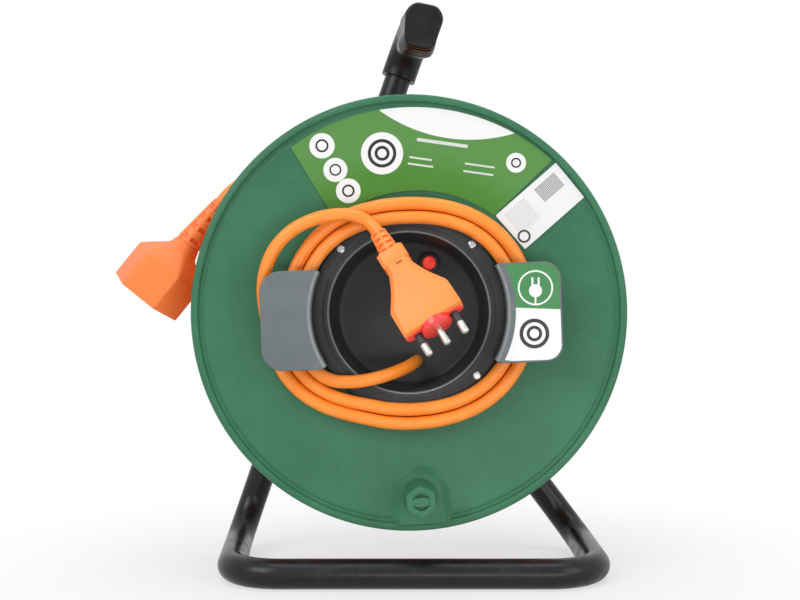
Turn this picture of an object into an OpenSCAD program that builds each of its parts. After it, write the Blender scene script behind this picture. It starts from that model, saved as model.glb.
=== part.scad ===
// Cable reel: a plastic drum that spins on a bent tube frame, with its plug wound on the front.
// Drum pieces are drawn in a frame of their own: x right, y up, z towards the user, with z = 0 at
// the front rim. The reel stands on z = 0 in the outer frame and its front faces -Y.

/* [Drum] */
// Diameter of both flanges
flange_d = 290; // [284:1:292]
// Overall width of the drum, rim to rim
drum_w = 108; // [104:1:110]
// Width of the rolled rim
rim_w = 5.3; // [4.5:0.1:6]
// Depth of the rolled rim
rim_t = 7; // [6:0.5:8]
// Distance of each flange plate behind its rim
plate_inset = 3; // [2.5:0.1:3.5]
// Thickness of the flange plates
plate_t = 2.5; // [2:0.1:3]
// Outer diameter of the core barrel
barrel_d = 140; // [139:0.5:141]
// Wall of the core barrel
barrel_t = 3; // [2.5:0.1:3.2]
// Angle by which the drum stands turned
rest_turn = 2.1; // [0:0.1:5]

/* [Frame] */
// Outer diameter of the steel tube
tube_d = 20; // [19.6:0.1:20.4]
// Wall of the steel tube
tube_t = 1.5; // [1.2:0.1:2]
// Gap between the drum and the front bar
ground_gap = 18; // [16:1:30]
// Width between the bar's corners at the front
front_w = 247; // [240:1:252]
// Sideways shift of the front corners
front_shift = 4.4; // [2:0.2:6]
// Width between the rear corners
rear_w = 261; // [256:1:264]
// Distance from the front bar to the posts
base_depth = 132; // [130:1:136]
// Height of the handle bend above the drum axis
handle_rise = 215; // [212:1:218]
// Drop of the handle from its bend to its end
handle_drop = 22; // [20:1:27]
// Sideways place of the handle bend
handle_x = 3; // [0:0.5:5]
// Centreline radius of the base bends
bend_r = 35; // [32:1:36]
// Centreline radius of the handle bend
handle_bend_r = 28; // [27:0.5:30]
// Centreline radius of the bend into the axle
axle_bend_r = 30; // [28:1:30]

/* [Grip] */
// Wall of the grip's sleeve
grip_t = 3.2; // [2.8:0.1:3.6]
// Width of the hand grip at its top
grip_top_w = 28.5; // [27:0.5:30]
// Width of the hand grip at its bottom
grip_low_w = 20; // [19:0.5:22]
// Height of the hand grip
grip_h = 30; // [29:0.5:32]
// Sideways lean of the hand grip
grip_lean = 11; // [8:1:13]
// Rest of the hand grip past the tube's end
grip_end_t = 4; // [3:0.5:5]
// Reach of the sleeve below the handle's bend
grip_below = 2.5; // [1.5:0.5:5]

/* [Storage cup] */
// Distance of the cup's mouth inside the outside of the barrel
cup_inset = 17; // [16.7:0.1:17.4]
// Draft of the cup, mouth to floor
cup_draft = 3.4; // [2.5:0.1:4]
// Depth of the cup's floor behind the rim
floor_depth = 42; // [41:0.5:42.5]
// Width of the cup's ring
ring_w = 12.7; // [12.2:0.1:13]
// Height of the ring's face above the rim
ring_h = 1; // [0.8:0.1:1.4]
// Wall of the cup
cup_t = 2.5; // [2:0.1:2.6]
// Distance of the ear walls past the ring
ear_step = 0.7; // [0.5:0.1:0.9]
// Height of the ear plates above the rim
ear_h = 23; // [22.5:0.1:24]
// Reach of the ear plates from the axis
ear_reach = 98.5; // [97:0.5:100]
// Width of the ear plates
ear_w = 64.5; // [62:0.5:66]
// Corner radius of the ear plates
ear_corner = 11; // [8:0.5:13]

/* [Cable] */
// Diameter of the cable
cord_d = 8.6; // [8.4:0.05:8.7]
// Centreline radius of the winding's outer layer
layer_r = 127.7; // [126:0.1:128]
// Turns in the winding's outer layer
layer_turns = 9; // [8:1:9]
// Step from turn to turn of the coil on the ears
coil_step = 9.2; // [9.1:0.05:9.3]
// Room that the coil's first turn leaves for the lead beside it
coil_spare = 2.2; // [2:0.1:2.5]

/* [Plug and socket] */
// Diameter of the plug's pins
pin_d = 5; // [4.8:0.05:5]
// Length of the pins past their carrier
pin_len = 18.3; // [17.5:0.1:19]
// Distance from pin to pin
pin_step = 13; // [12.8:0.1:13.2]
// Half width of the plug's body
plug_half_w = 20.7; // [20:0.1:21.5]
// Diameter of the round boss on the plug's face
bridge_boss_d = 20.6; // [20:0.1:20.8]
// Distance across the corners of the socket's head
socket_w = 54; // [53:0.5:55]
// Length of the socket, mouth to relief
socket_len = 84; // [80:1:88]
// Diameter of the socket's holes
socket_hole_d = 5.5; // [5.4:0.05:5.7]

/* [Knob] */
// Distance of the winding knob from the drum axis
knob_orbit = 121; // [120:0.5:122]
// Angle of the winding knob from the right ear
knob_angle = 271.6; // [268:0.1:273]
// Height of the winding knob
knob_h = 28; // [26:0.5:32]
// Diameter of the knob's foot
knob_foot_d = 25; // [24:0.5:26]
// Distance across the flats of the knob's front
knob_af = 19; // [18.5:0.5:20]
// Diameter of the post that the knob turns on
post_d = 6; // [5.8:0.1:6.2]

/* [Clearances] */
// Radial running clearance of the axle, the knob and the button
run_gap = 0.08; // [0.05:0.01:0.1]
// End play on each side of a turning piece
end_gap = 0.2; // [0.15:0.05:0.3]
// Gap between a piece and the seat that holds it
seat_gap = 0.05; // [0.03:0.01:0.1]
// Gap between a cable and what it lies on
cord_gap = 0.3; // [0.25:0.05:0.5]
// Travel of the reset button
button_travel = 2; // [1.5:0.1:2.2]

/* [Hidden] */
$fn = 72;

steel_black = "#26282b";
moulded_black = "#1d1e20";
drum_green = "#2f7a55";
cup_grey = "#54585b";
cable_orange = "#ff9438";
socket_orange = "#ff7a3c";
bridge_red = "#e8402f";
bright_steel = "#c9ccd0";
brass = "#cfa95a";

// Levels in the drum's own frame
flange_r = flange_d / 2;
plate_z = -plate_inset;
inner_z = plate_z - plate_t;
rear_inner_z = -drum_w - inner_z;
barrel_r = barrel_d / 2;
rim_bore = flange_r - rim_w;
ridge_h = 0.6;
ridge_w = 2;
ridge_inset = 2.5;
axis_z = flange_r + ground_gap + tube_d;
cup_r = barrel_r - cup_inset;
floor_r = cup_r - cup_draft;
ring_r = cup_r + ring_w;
ear_r = ring_r + ear_step;

// Axle, its hub and what keeps the drum on it
axle_end_z = -50;
cap_flange_t = 2.2;
cap_plug_len = 12;
washer_t = 1.5;
spacer_t = 1.8;
washer_d = 27;
hub_wall = 4;
hub_r = tube_d / 2 + hub_wall;
hub_front_z = axle_end_z - washer_t - 2 * end_gap;
bend_start_z = axle_bend_r - base_depth;
hub_rear_z = bend_start_z + spacer_t + end_gap;
hub_recess_r = hub_r + 2;
hub_flare_r = hub_recess_r + hub_wall;
hub_ribs = 6;
hub_rib_t = 2.4;
hub_rib_h = 20;
hub_rib_reach = 56;

// Fixing screws of the cup and the rear flange
screw_r = 1.5;
screw_orbit = barrel_r - 8.5;
screw_len = 14;
screw_head_r = 3;
screw_head_h = 1.8;
screw_count = 4;
boss_wall = 2.7;
pilot_len = 15;

// Knob and its boss
boss_h = 2;
boss_top_r = 13.4;
boss_foot_r = 19;
boss_spread = 5;
boss_step = 0.15;
post_root = 4;
lug_r = 5.2;
lug_t = 2.2;
lug_w = 5.4;
snap_r = 5.6;
snap_depth = 3;
knob_foot_h = 3;
knob_round = 1;
knob_z = boss_h + end_gap;
knob_front_z = knob_z + knob_h;

// Cup, ears and what passes the floor, laid out for a cup of one radius and scaled with it
laid_cup_r = 53;
laid_scale = cup_r / laid_cup_r;
floor_z = -floor_depth;
floor_back_z = floor_z - cup_t;
cup_fillet = 3;
mouth_round = 1.5;
ear_t = 2.8;
ear_wall_t = 3.5;
ear_drop = 2.6;
cord_hole = [4.5 * laid_scale, -33.5 * laid_scale];
cord_hole_r = cord_d / 2 + cord_gap;
button_at = [15.2, 34];
button_r = 4.6;
button_proud = 4;
neck_r = 6;
nut_r = 8;
nut_t = 2;
cutout_w = 15;
cutout_h = 34;
cutout_depth = 26;
cutout_lift = 4;
button_len = 14;

// Cord clamp behind the floor
clamp_reach = 12;
clamp_boss_h = 8;
clamp_boss_r = 3.6;
clamp_w = 10;
clamp_t = 7;
clamp_screw_len = 12;

// Cable
ring_steps = 24;
form_sides = 6;
tube_sides = 10;
layer_side_gap = 1;
coil_r = cup_r + 7.5;
coil_z = ring_h + cord_gap + cord_d / 2;
coil_from = 180;
coil_to = -525;
coil_spread_by = -120;
ear_turn_r = ear_r + cord_d / 2 + cord_gap;

// Plug, measured along its axis from the end of its relief
plug_at = [-21.46 * laid_scale, 53.09 * laid_scale, 18.45];
plug_heading = -58.5;
plug_tilt = 25.5;
relief_tip_r = 5.4;
relief_spread = 1.5;
plug_relief_len = 17;
plug_end = 76;
plug_flat_w = 18.6;
plug_front_t = 9.5;
plug_front_edge = 7.5;
plug_back_t = 6.8;
plug_back_edge = 3;
plug_back_flat_w = 6;
// From the relief's root: height, half width, flat half width, front, front edge, back edge, back,
// flat half width of the back
plug_sections = [
    [-1, 9.2, 7, 8.2, 6, 5.5, 7.8, 6.5],
    [9, 9.2, 7, 8.2, 6, 5.5, 7.8, 6.5],
    [9.3, 7.8, 5.6, 7.6, 5.4, 4.8, 7, 5],
    [15.5, 9, 6.3, 8.2, 5.8, 4.6, 7.4, 5.6],
    [22.5, 11.2, 8.2, 8.9, 6.4, 4.2, 7.6, plug_back_flat_w],
    [30.5, 15.7, 12.4, 9.3, 6.9, 3.8, 7.4, plug_back_flat_w],
    [36, 19.8, 16.4, plug_front_t, 7.2, 3.3, 7, plug_back_flat_w],
    [38.5, plug_half_w, 17.6, plug_front_t, 7.3, plug_back_edge, plug_back_t, plug_back_flat_w],
    [plug_end - plug_relief_len, plug_half_w, plug_flat_w, plug_front_t, plug_front_edge,
     plug_back_edge, plug_back_t, plug_back_flat_w]
];
bridge_t = 1.6;
bridge_bar_t = 0.8;
bridge_bar_r = 4;
bridge_rim = 0.5;
pin_root = 10;
sleeve_len = 10.3;
sleeve_t = 0.6;

// Socket, measured along its axis from the end of its relief
socket_mouth = [-183, 10.9, -37];
socket_heading = 231;
socket_head_len = 27.5;
socket_neck_len = 41;
socket_neck_r = 11.5;
socket_neck_flare = 7;
socket_neck_step = 0.4;
socket_neck_root = 1;
socket_wall = 3;
socket_round = 3;
face_inset = 1.5;
face_len = 25;
bore_len = 8;
contact_len = 13;
contact_t = 0.8;
contact_d = pin_d + 2 * contact_t + 0.2;

// The reel's front is the knob's and its back the posts', so this centres its depth on y = 0
front_y = (knob_front_z - base_depth - tube_d / 2) / 2;

band_w = 0.4;
band_t = 0.02;

// Corners of the bent tube, in the drum's frame before it turns
foot_y = tube_d / 2 - axis_z;
handle_end_z = -14;
handle_skew = 6;
frame_path = [
    [handle_x + handle_skew, handle_rise - handle_drop, handle_end_z],
    [handle_x, handle_rise, -base_depth],
    [-rear_w / 2, foot_y, -base_depth],
    [front_shift - front_w / 2, foot_y, 0],
    [front_shift + front_w / 2, foot_y, 0],
    [rear_w / 2, foot_y, -base_depth],
    [0, 0, -base_depth],
    [0, 0, axle_end_z]
];
frame_bends = [0, handle_bend_r, bend_r, bend_r, bend_r, bend_r, axle_bend_r, 0];

// Hand grip's edges and ribs
grip_low_round = 6;
grip_top_round = 7;
grip_ribs = 4;
grip_rib_step = 8.5;
grip_rib_w = 3;
grip_rib_h = 1.2;
grip_rib_inset = 4;

function unit(v) = v / norm(v);

// Angle that a path turns by at its point i, and how far the bend starts before that point
function turn_at(path, i) =
    acos(unit(path[i] - path[i - 1]) * unit(path[i + 1] - path[i]));
function setback(path, bends, i) =
    i == 0 || i == len(path) - 1 ? 0 : bends[i] * tan(turn_at(path, i) / 2);

// Outline with each corner rounded by its own radius
function corner(before, at, after, r, steps) =
    let (a = unit(before - at), b = unit(after - at), half = acos(a * b) / 2)
    let (centre = at + unit(a + b) * r / sin(half), reach = r / tan(half))
    let (from = at + a * reach - centre, to = at + b * reach - centre)
    [for (k = [0 : steps]) centre + r * unit(from * (1 - k / steps) + to * (k / steps))];
function rounded(points, radii, steps = 5) =
    [for (i = [0 : len(points) - 1])
        let (n = len(points))
        each radii[i] == 0
            ? [points[i]]
            : corner(points[(i + n - 1) % n], points[i], points[(i + 1) % n], radii[i], steps)];

// Directions along a route, and one normal at each point carried along without twist
function directions(route) =
    [for (i = [0 : len(route) - 1])
        unit(route[min(i + 1, len(route) - 1)] - route[max(i - 1, 0)])];
function square_to(v, along) = unit(v - (v * along) * along);
function normals(along, seed) =
    [for (i = 0, n = square_to(seed, along[0]); i < len(along);
          i = i + 1, n = i < len(along) ? square_to(n, along[i]) : n) n];

// Faces of a skin over rings of equal count, closed at both ends
function skin_faces(rings, count) = concat(
    [for (i = [0 : rings - 2], s = [0 : count - 1])
        let (a = i * count + s, b = i * count + (s + 1) % count)
        each [[a, a + count, b], [b, a + count, b + count]]],
    [for (s = [1 : count - 2]) [0, s, s + 1]],
    [for (s = [1 : count - 2]) let (e = (rings - 1) * count) [e, e + s + 1, e + s]]
);

// Least distance between the turns of a wound tube, between points further apart than half a turn
function least_gap(route, apart) = min([
    for (i = [0 : len(route) - 1], j = [i + apart : 1 : len(route) - 1]) norm(route[i] - route[j])
]) - cord_d;

// The outer layer of the winding: a helix with a straight end of one diameter at each side
layer_width = inner_z - rear_inner_z;
layer_step = (layer_width - 2 * layer_side_gap - cord_d) / layer_turns;
function layer_point(a) =
    [layer_r * cos(a), layer_r * sin(a), inner_z - layer_side_gap - cord_d / 2 - layer_step * a / 360];
function layer_heading(a) =
    unit([-sin(a), cos(a), -layer_step / (2 * PI * layer_r)]);
layer_last = 360 * layer_turns;
layer_route = concat(
    [layer_point(0) - layer_heading(0) * cord_d],
    [for (a = [0 : 360 / ring_steps : layer_last]) layer_point(a)],
    [layer_point(layer_last) + layer_heading(layer_last) * cord_d]
);

// The coil on the ears: a flat spiral, drawn out where it passes the ear walls
function coil_point(a) =
    let (
        base = coil_r + (ear_turn_r - coil_r) * (1 - pow(sin(a), 4)),
        spare = coil_spare * min(1, (coil_from - a) / (coil_from - coil_spread_by)),
        r = base + coil_step * (coil_from - a) / 360 + spare
    )
    [r * cos(a), r * sin(a), coil_z];
function coil_heading(a) = [sin(a), -cos(a), 0];
coil_start = coil_point(coil_from) - coil_heading(coil_from) * cord_d;
coil_end = coil_point(coil_to) + coil_heading(coil_to) * cord_d;
coil_route = concat(
    [coil_start],
    [for (a = [coil_from : -360 / ring_steps : coil_to]) coil_point(a)],
    [coil_end]
);

// Points laid out for one radius of the cup, moved with the radius it has
function laid(points) = [for (p = points) [p.x * laid_scale, p.y * laid_scale, p.z]];

// Route from the clamp behind the floor, out of its hole and over the ring to the coil
tail_lead_route = concat(
    laid([
        [4.5, -33.5, -59.5], [4.5, -33.5, -50], [4.5, -33.5, -42], [3.8, -33.9, -33],
        [1.5, -35, -23.8], [-3, -36.8, -14.3], [-8.5, -38.7, -7], [-15, -40.6, -1.1],
        [-22, -42.2, 3.1], [-29, -43.3, 5.9], [-36, -44, 7.5], [-43, -43.9, 8.2],
        [-51.3, -42.7, 8.8], [-58.7, -38.9, 9.1], [-64.6, -32.9, 8.7], [-68.9, -25.3, 7.1]
    ]),
    [coil_start - coil_heading(coil_from) * cord_d, coil_start]
);

// Plug axis and the cable's loop from the coil to the plug's relief
plug_dir = [cos(plug_tilt) * cos(plug_heading), cos(plug_tilt) * sin(plug_heading), sin(plug_tilt)];
tail_loop_route = concat(
    [coil_end, coil_end + coil_heading(coil_to) * cord_d],
    laid([
        [-94.6, 8.5, 7.2], [-94.8, 19.5, 8.8], [-92.6, 31, 10.8], [-87.6, 42, 12.8],
        [-79.6, 52, 14.4], [-69.4, 59.7, 15.4], [-57.5, 64.4, 15.9], [-50, 65.6, 15.8],
        [-43.4, 65.7, 15.5], [-36.8, 64.7, 15.1], [-30.5, 62, 15.1], [-26, 58.8, 15.8]
    ]),
    [plug_at - plug_dir * cord_d / 2, plug_at]
);

// Socket axis and the cable that lies over the winding and leaves it for the socket
socket_dir = [cos(socket_heading), sin(socket_heading), 0];
socket_at = socket_mouth - socket_dir * socket_len;
over_r = layer_r + cord_d + cord_gap;
trailing_route = concat(
    [for (a = [-20 : 10 : 110]) [over_r * cos(a), over_r * sin(a), socket_mouth.z]],
    [
        [-69, 119.5, -37], [-88, 109.5, -37], [-106, 97.5, -37],
        socket_at - socket_dir * cord_d, socket_at
    ]
);

echo("least gap in the winding, mm", least_gap(layer_route, ring_steps / 2));
echo("least gap in the coil, mm", least_gap(coil_route, ring_steps / 2));

// ---- Placing and shared shapes ----

// The drum's frame before it turns: x right, y up, z towards the user
module at_axis() {
    translate([0, front_y, axis_z]) rotate([90, 0, 0]) children();
}

// The drum's own frame, turned as it stands
module on_drum() {
    at_axis() rotate([0, 0, rest_turn]) children();
}

module pointed(dir) {
    rotate([0, acos(dir.z), atan2(dir.y, dir.x)]) children();
}

module bend(path, bends, i) {
    a = unit(path[i] - path[i - 1]);
    b = unit(path[i + 1] - path[i]);
    inward = unit(b - a * (a * b));
    centre = path[i] - a * setback(path, bends, i) + inward * bends[i];
    side = cross(-inward, a);
    multmatrix([
        [-inward.x, a.x, side.x, centre.x],
        [-inward.y, a.y, side.y, centre.y],
        [-inward.z, a.z, side.z, centre.z],
        [0, 0, 0, 1]
    ])
        rotate_extrude(angle = turn_at(path, i)) translate([bends[i], 0]) children();
}

// Round rod along straight runs joined by bends, with a hair-thin band where a bend meets a run
module bent_rod(path, bends, d) {
    for (i = [0 : len(path) - 2]) {
        dir = unit(path[i + 1] - path[i]);
        from = path[i] + dir * setback(path, bends, i);
        to = path[i + 1] - dir * setback(path, bends, i + 1);
        translate(from) pointed(dir) cylinder(d = d, h = norm(to - from));
        if (i > 0) translate(from) pointed(dir) band(d);
        if (i < len(path) - 2) translate(to) pointed(dir) band(d);
    }
    for (i = [1 : len(path) - 2]) bend(path, bends, i) circle(d = d);
}

module band(d) {
    translate([0, 0, -band_w / 2]) cylinder(d = d + 2 * band_t, h = band_w);
}

// Round cable along a route, with a ring of corners at each of its points
module cable(route, sides) {
    along = directions(route);
    across = normals(along, [0.2, 0.3, 1]);
    points = [for (i = [0 : len(route) - 1], s = [0 : sides - 1])
        let (a = 360 * s / sides)
        route[i] + cord_d / 2 * (cos(a) * across[i] + sin(a) * cross(along[i], across[i]))];
    polyhedron(points, skin_faces(len(route), sides));
}

// Skin over eight-sided sections, alike on both sides of the plug and unlike front and back
module flat_loft(sections) {
    points = [for (s = sections)
        each [
            [s[6], s[7], s[0]], [s[5], s[1], s[0]], [-s[4], s[1], s[0]], [-s[3], s[2], s[0]],
            [-s[3], -s[2], s[0]], [-s[4], -s[1], s[0]], [s[5], -s[1], s[0]], [s[6], -s[7], s[0]]
        ]];
    polyhedron(points, skin_faces(len(sections), 8));
}

// Bending relief: a cone with pairs of slots cut in from alternate sides, and a flare past them
module relief(length, r_tip, r_root, slots, flare, r_flare) {
    step = length / (slots + 1);
    slot_w = step * 0.32;
    difference() {
        rotate_extrude()
            polygon([[0, 0], [r_tip, 0], [r_root, length], [r_flare, length + flare], [0, length + flare]]);
        for (i = [1 : slots], side = [0, 180])
            rotate([0, 0, side + 90 * (i % 2)])
                translate([cord_d / 2, -r_root, i * step - slot_w / 2])
                    cube([r_root, 2 * r_root, slot_w]);
    }
}

module fixing_screw(length) {
    cylinder(r = screw_r, h = length);
    translate([0, 0, length]) cylinder(r1 = screw_head_r, r2 = screw_head_r * 0.75, h = screw_head_h);
}

module around(count, orbit, start) {
    for (i = [0 : count - 1])
        rotate([0, 0, start + 360 * i / count]) translate([orbit, 0, 0]) children();
}

// ---- Frame ----

module frame_tube() {
    color(steel_black) at_axis() difference() {
        bent_rod(frame_path, frame_bends, tube_d);
        bent_rod(frame_path, frame_bends, tube_d - 2 * tube_t);
    }
}

// Sleeve over the post's top and its bend, with a hand grip of rounded trapezoid section
module grip() {
    post_dir = unit(frame_path[1] - frame_path[2]);
    run_dir = unit(frame_path[0] - frame_path[1]);
    start = setback(frame_path, frame_bends, 1);
    foot = frame_path[1] - post_dir * (start + grip_below);
    path = [foot, frame_path[1], frame_path[0]];
    bends = [0, handle_bend_r, 0];
    run = norm(frame_path[0] - frame_path[1]);
    half_top = grip_top_w / 2;
    half_low = grip_low_w / 2;
    section = rounded(
        [[-half_low, -grip_h / 2], [half_low, -grip_h / 2], [half_top, grip_h / 2], [-half_top, grip_h / 2]],
        [grip_low_round, grip_low_round, grip_top_round, grip_top_round]
    );
    color(moulded_black) at_axis() difference() {
        union() {
            bent_rod(path, bends, tube_d + 2 * grip_t);
            translate(frame_path[1]) pointed(run_dir)
                rotate([0, 0, -atan2(run_dir.y, run_dir.x) - grip_lean]) translate([0, 0, start]) {
                    linear_extrude(run - start + grip_end_t) polygon(section);
                    for (i = [0 : grip_ribs - 1])
                        translate([-half_low + grip_rib_inset, -grip_h / 2 - grip_rib_h,
                                   run - start - grip_rib_step * (i + 1)])
                            cube([2 * (half_low - grip_rib_inset), 2 * grip_rib_h, grip_rib_w]);
                }
        }
        bent_rod([foot - post_dir * tube_d, frame_path[1], frame_path[0]], bends, tube_d + 2 * seat_gap);
    }
}

// Plug pressed into the axle's end, whose flange keeps the drum on
module axle_cap() {
    color(moulded_black) at_axis() translate([0, 0, axle_end_z]) {
        translate([0, 0, -cap_plug_len])
            cylinder(r = tube_d / 2 - tube_t - seat_gap, h = cap_plug_len);
        cylinder(d1 = washer_d - 1, d2 = washer_d - 3, h = cap_flange_t);
    }
}

module washer(t) {
    difference() {
        cylinder(d = washer_d, h = t);
        translate([0, 0, -1]) cylinder(r = tube_d / 2 + run_gap, h = t + 2);
    }
}

module axle_washer() {
    color(bright_steel) at_axis() translate([0, 0, axle_end_z - end_gap - washer_t]) washer(washer_t);
}

module axle_spacer() {
    color(moulded_black) at_axis() translate([0, 0, bend_start_z]) washer(spacer_t);
}

// ---- Drum ----

// Flat plate with a raised ring and a rolled rim, round a hole
module flange_ring(hole_r) {
    ridge = rim_bore - ridge_inset;
    rotate_extrude($fn = 144) polygon(rounded(
        [
            [hole_r, inner_z], [hole_r, plate_z], [ridge - ridge_w, plate_z],
            [ridge - ridge_w, plate_z + ridge_h], [ridge, plate_z + ridge_h], [ridge, plate_z],
            [rim_bore, plate_z], [rim_bore, 0], [flange_r, 0], [flange_r, -rim_t], [rim_bore, -rim_t],
            [rim_bore, inner_z]
        ],
        [0, 0, 0, 0, 0, 0, 0, 1.6, 2.4, 1.6, 0, 0], 3
    ));
}

// Arch-shaped plateau that carries the winding knob and runs out into the rim
module knob_boss() {
    height = boss_h - plate_z;
    root = plate_t / 2;
    draft = (boss_foot_r - boss_top_r) / height;
    reach = rim_bore + rim_w / 2;
    foot = boss_foot_r + draft * root - boss_step;
    top = boss_top_r - boss_step;
    tall = height + root - boss_step / 3;
    length = sqrt(reach * reach - boss_foot_r * boss_foot_r) - knob_orbit - boss_foot_r * sin(boss_spread);
    translate([0, 0, plate_z - root]) rotate([0, 0, knob_angle]) translate([knob_orbit, 0, 0]) {
        cylinder(r1 = boss_foot_r + draft * root, r2 = boss_top_r, h = height + root);
        for (side = [-1, 1])
            rotate([0, 0, side * boss_spread]) rotate([90, 0, 90])
                linear_extrude(length)
                    polygon([[-foot, 0], [foot, 0], [top, tall], [-top, tall]]);
    }
}

module front_flange() {
    color(drum_green) on_drum() difference() {
        union() {
            flange_ring(cup_r + cup_t + seat_gap);
            knob_boss();
        }
        around(screw_count, screw_orbit, 45)
            translate([0, 0, inner_z - 1]) cylinder(r = screw_r + seat_gap, h = plate_t + 2);
        around(1, knob_orbit, knob_angle)
            translate([0, 0, boss_h - post_root]) cylinder(r = post_d / 2 + seat_gap, h = post_root + 1);
    }
}

// Barrel between the flanges, with a screw boss on a rib at each fixing
module drum_core() {
    boss_r = screw_r + boss_wall;
    length = layer_width;
    color(drum_green) on_drum() translate([0, 0, rear_inner_z]) difference() {
        union() {
            difference() {
                cylinder(r = barrel_r, h = length, $fn = 144);
                translate([0, 0, -1]) cylinder(r = barrel_r - barrel_t, h = length + 2, $fn = 144);
            }
            around(screw_count, screw_orbit, 45) {
                cylinder(r = boss_r, h = length);
                translate([0, -boss_wall / 2, 0])
                    cube([barrel_r - barrel_t / 2 - screw_orbit, boss_wall, length]);
            }
        }
        for (z = [-1, length - pilot_len + 1])
            around(screw_count, screw_orbit, 45)
                translate([0, 0, z]) cylinder(r = screw_r + seat_gap, h = pilot_len);
    }
}

// Rear flange with the hub that turns on the axle, its flared seat and its ribs
module rear_flange() {
    bore_r = tube_d / 2 + run_gap;
    color(drum_green) on_drum() difference() {
        union() {
            translate([0, 0, -drum_w]) mirror([0, 0, 1]) flange_ring(hub_recess_r);
            rotate_extrude() polygon([
                [bore_r, hub_front_z], [hub_r, hub_front_z], [hub_r, hub_rear_z + hub_wall],
                [hub_flare_r, hub_rear_z + hub_wall], [hub_flare_r, rear_inner_z],
                [hub_recess_r, rear_inner_z - plate_t], [hub_recess_r, hub_rear_z], [bore_r, hub_rear_z]
            ]);
            around(hub_ribs, hub_r - hub_wall / 2, 0)
                translate([0, -hub_rib_t / 2, rear_inner_z - plate_t / 2])
                    cube([hub_rib_reach - hub_r, hub_rib_t, hub_rib_h]);
        }
        translate([0, 0, -drum_w]) cylinder(r = hub_recess_r, h = hub_rear_z + drum_w);
        around(screw_count, screw_orbit, 45)
            translate([0, 0, -drum_w]) cylinder(r = screw_r + seat_gap, h = rim_t);
    }
}

module rear_screws() {
    color(bright_steel) on_drum()
        around(screw_count, screw_orbit, 45)
            translate([0, 0, rear_inner_z - plate_t + screw_len]) mirror([0, 0, 1])
                fixing_screw(screw_len);
}

// ---- Storage cup and what its floor carries ----

// Hook that holds the coil: a curved wall off the ring and a plate in front of it
module ear() {
    inside_r = ear_r - ear_wall_t;
    wall_z = ring_h - cup_t / 2;
    low = asin((ear_w / 2 + ear_drop) / (ear_r + ear_t / 2));
    high = asin((ear_w / 2 - ear_drop) / (ear_r + ear_t / 2));
    rotate([0, 0, -low]) rotate_extrude(angle = low + high)
        polygon(rounded(
            [[inside_r, wall_z], [ear_r, wall_z], [ear_r, ear_h - ear_t], [ear_r + ear_t, ear_h - ear_t],
             [ear_r + ear_t, ear_h], [inside_r, ear_h]],
            [0, 0, 0, 0, 0, ear_t]
        ));
    translate([0, 0, ear_h - ear_t]) linear_extrude(ear_t) difference() {
        polygon(rounded(
            [[0, -ear_w / 2 - ear_drop], [ear_reach, -ear_w / 2 - ear_drop],
             [ear_reach, ear_w / 2 - ear_drop], [0, ear_w / 2 - ear_drop]],
            [0, ear_corner, ear_corner, 0]
        ));
        circle(r = ear_r - ear_wall_t / 3);
    }
}

module storage_cup() {
    color(cup_grey) on_drum() difference() {
        union() {
            rotate_extrude($fn = 144) polygon(rounded(
                [
                    [0, floor_back_z], [floor_r, floor_back_z], [cup_r + cup_t, inner_z],
                    [cup_r + cup_t, ring_h - cup_t], [ring_r - cup_t, ring_h - cup_t],
                    [ring_r - cup_t, plate_z], [ring_r, plate_z], [ring_r, ring_h], [cup_r, ring_h],
                    [cup_r, plate_z], [floor_r, floor_z], [0, floor_z]
                ],
                [0, cup_fillet, 0, 0, 0, 0, 0, 1, mouth_round, 0, cup_fillet, 0], 4
            ));
            ear();
            mirror([1, 0, 0]) ear();
            for (side = [-1, 1])
                translate([cord_hole.x + side * clamp_reach, cord_hole.y, floor_back_z - clamp_boss_h])
                    cylinder(r = clamp_boss_r, h = clamp_boss_h + cup_t / 2);
        }
        translate([cord_hole.x, cord_hole.y, floor_back_z - 1])
            cylinder(r = cord_hole_r, h = cup_t + 2);
        translate([button_at.x, button_at.y, floor_back_z - 1])
            cylinder(r = neck_r + seat_gap, h = cup_t + 2);
        for (side = [-1, 1])
            translate([cord_hole.x + side * clamp_reach, cord_hole.y, floor_back_z - clamp_boss_h - 1])
                cylinder(r = screw_r + seat_gap, h = clamp_boss_h + 1);
        around(screw_count, screw_orbit, 45)
            translate([0, 0, plate_z]) cylinder(r = screw_r + seat_gap, h = ring_h - plate_z + 1);
    }
}

module cup_screws() {
    color(bright_steel) on_drum()
        around(screw_count, screw_orbit, 45)
            translate([0, 0, ring_h - screw_len]) fixing_screw(screw_len);
}

// Thermal cut-out behind the floor, with a bored neck for its reset button
module cutout_body() {
    button_bore_z = floor_z + nut_t + button_proud - button_len - button_travel - end_gap;
    color(moulded_black) on_drum() translate([button_at.x, button_at.y, 0]) difference() {
        union() {
            translate([-cutout_w / 2, -cutout_h / 2 + cutout_lift, floor_back_z - cutout_depth])
                cube([cutout_w, cutout_h, cutout_depth]);
            translate([0, 0, floor_back_z - 1]) cylinder(r = neck_r, h = cup_t + nut_t + 1);
        }
        translate([0, 0, button_bore_z]) cylinder(r = button_r + run_gap, h = button_len + 2 * button_proud);
    }
}

module cutout_nut() {
    color(moulded_black) on_drum() translate([button_at.x, button_at.y, floor_z]) difference() {
        cylinder(r1 = nut_r, r2 = nut_r - 0.8, h = nut_t);
        translate([0, 0, -1]) cylinder(r = neck_r + seat_gap, h = nut_t + 2);
    }
}

module reset_button() {
    dome = 0.8;
    color(bridge_red) on_drum()
        translate([button_at.x, button_at.y, floor_z + nut_t + button_proud - button_len])
            rotate_extrude() polygon(rounded(
                [[0, 0], [button_r, 0], [button_r, button_len], [0, button_len]],
                [0, 0, dome, 0]
            ));
}

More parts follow.
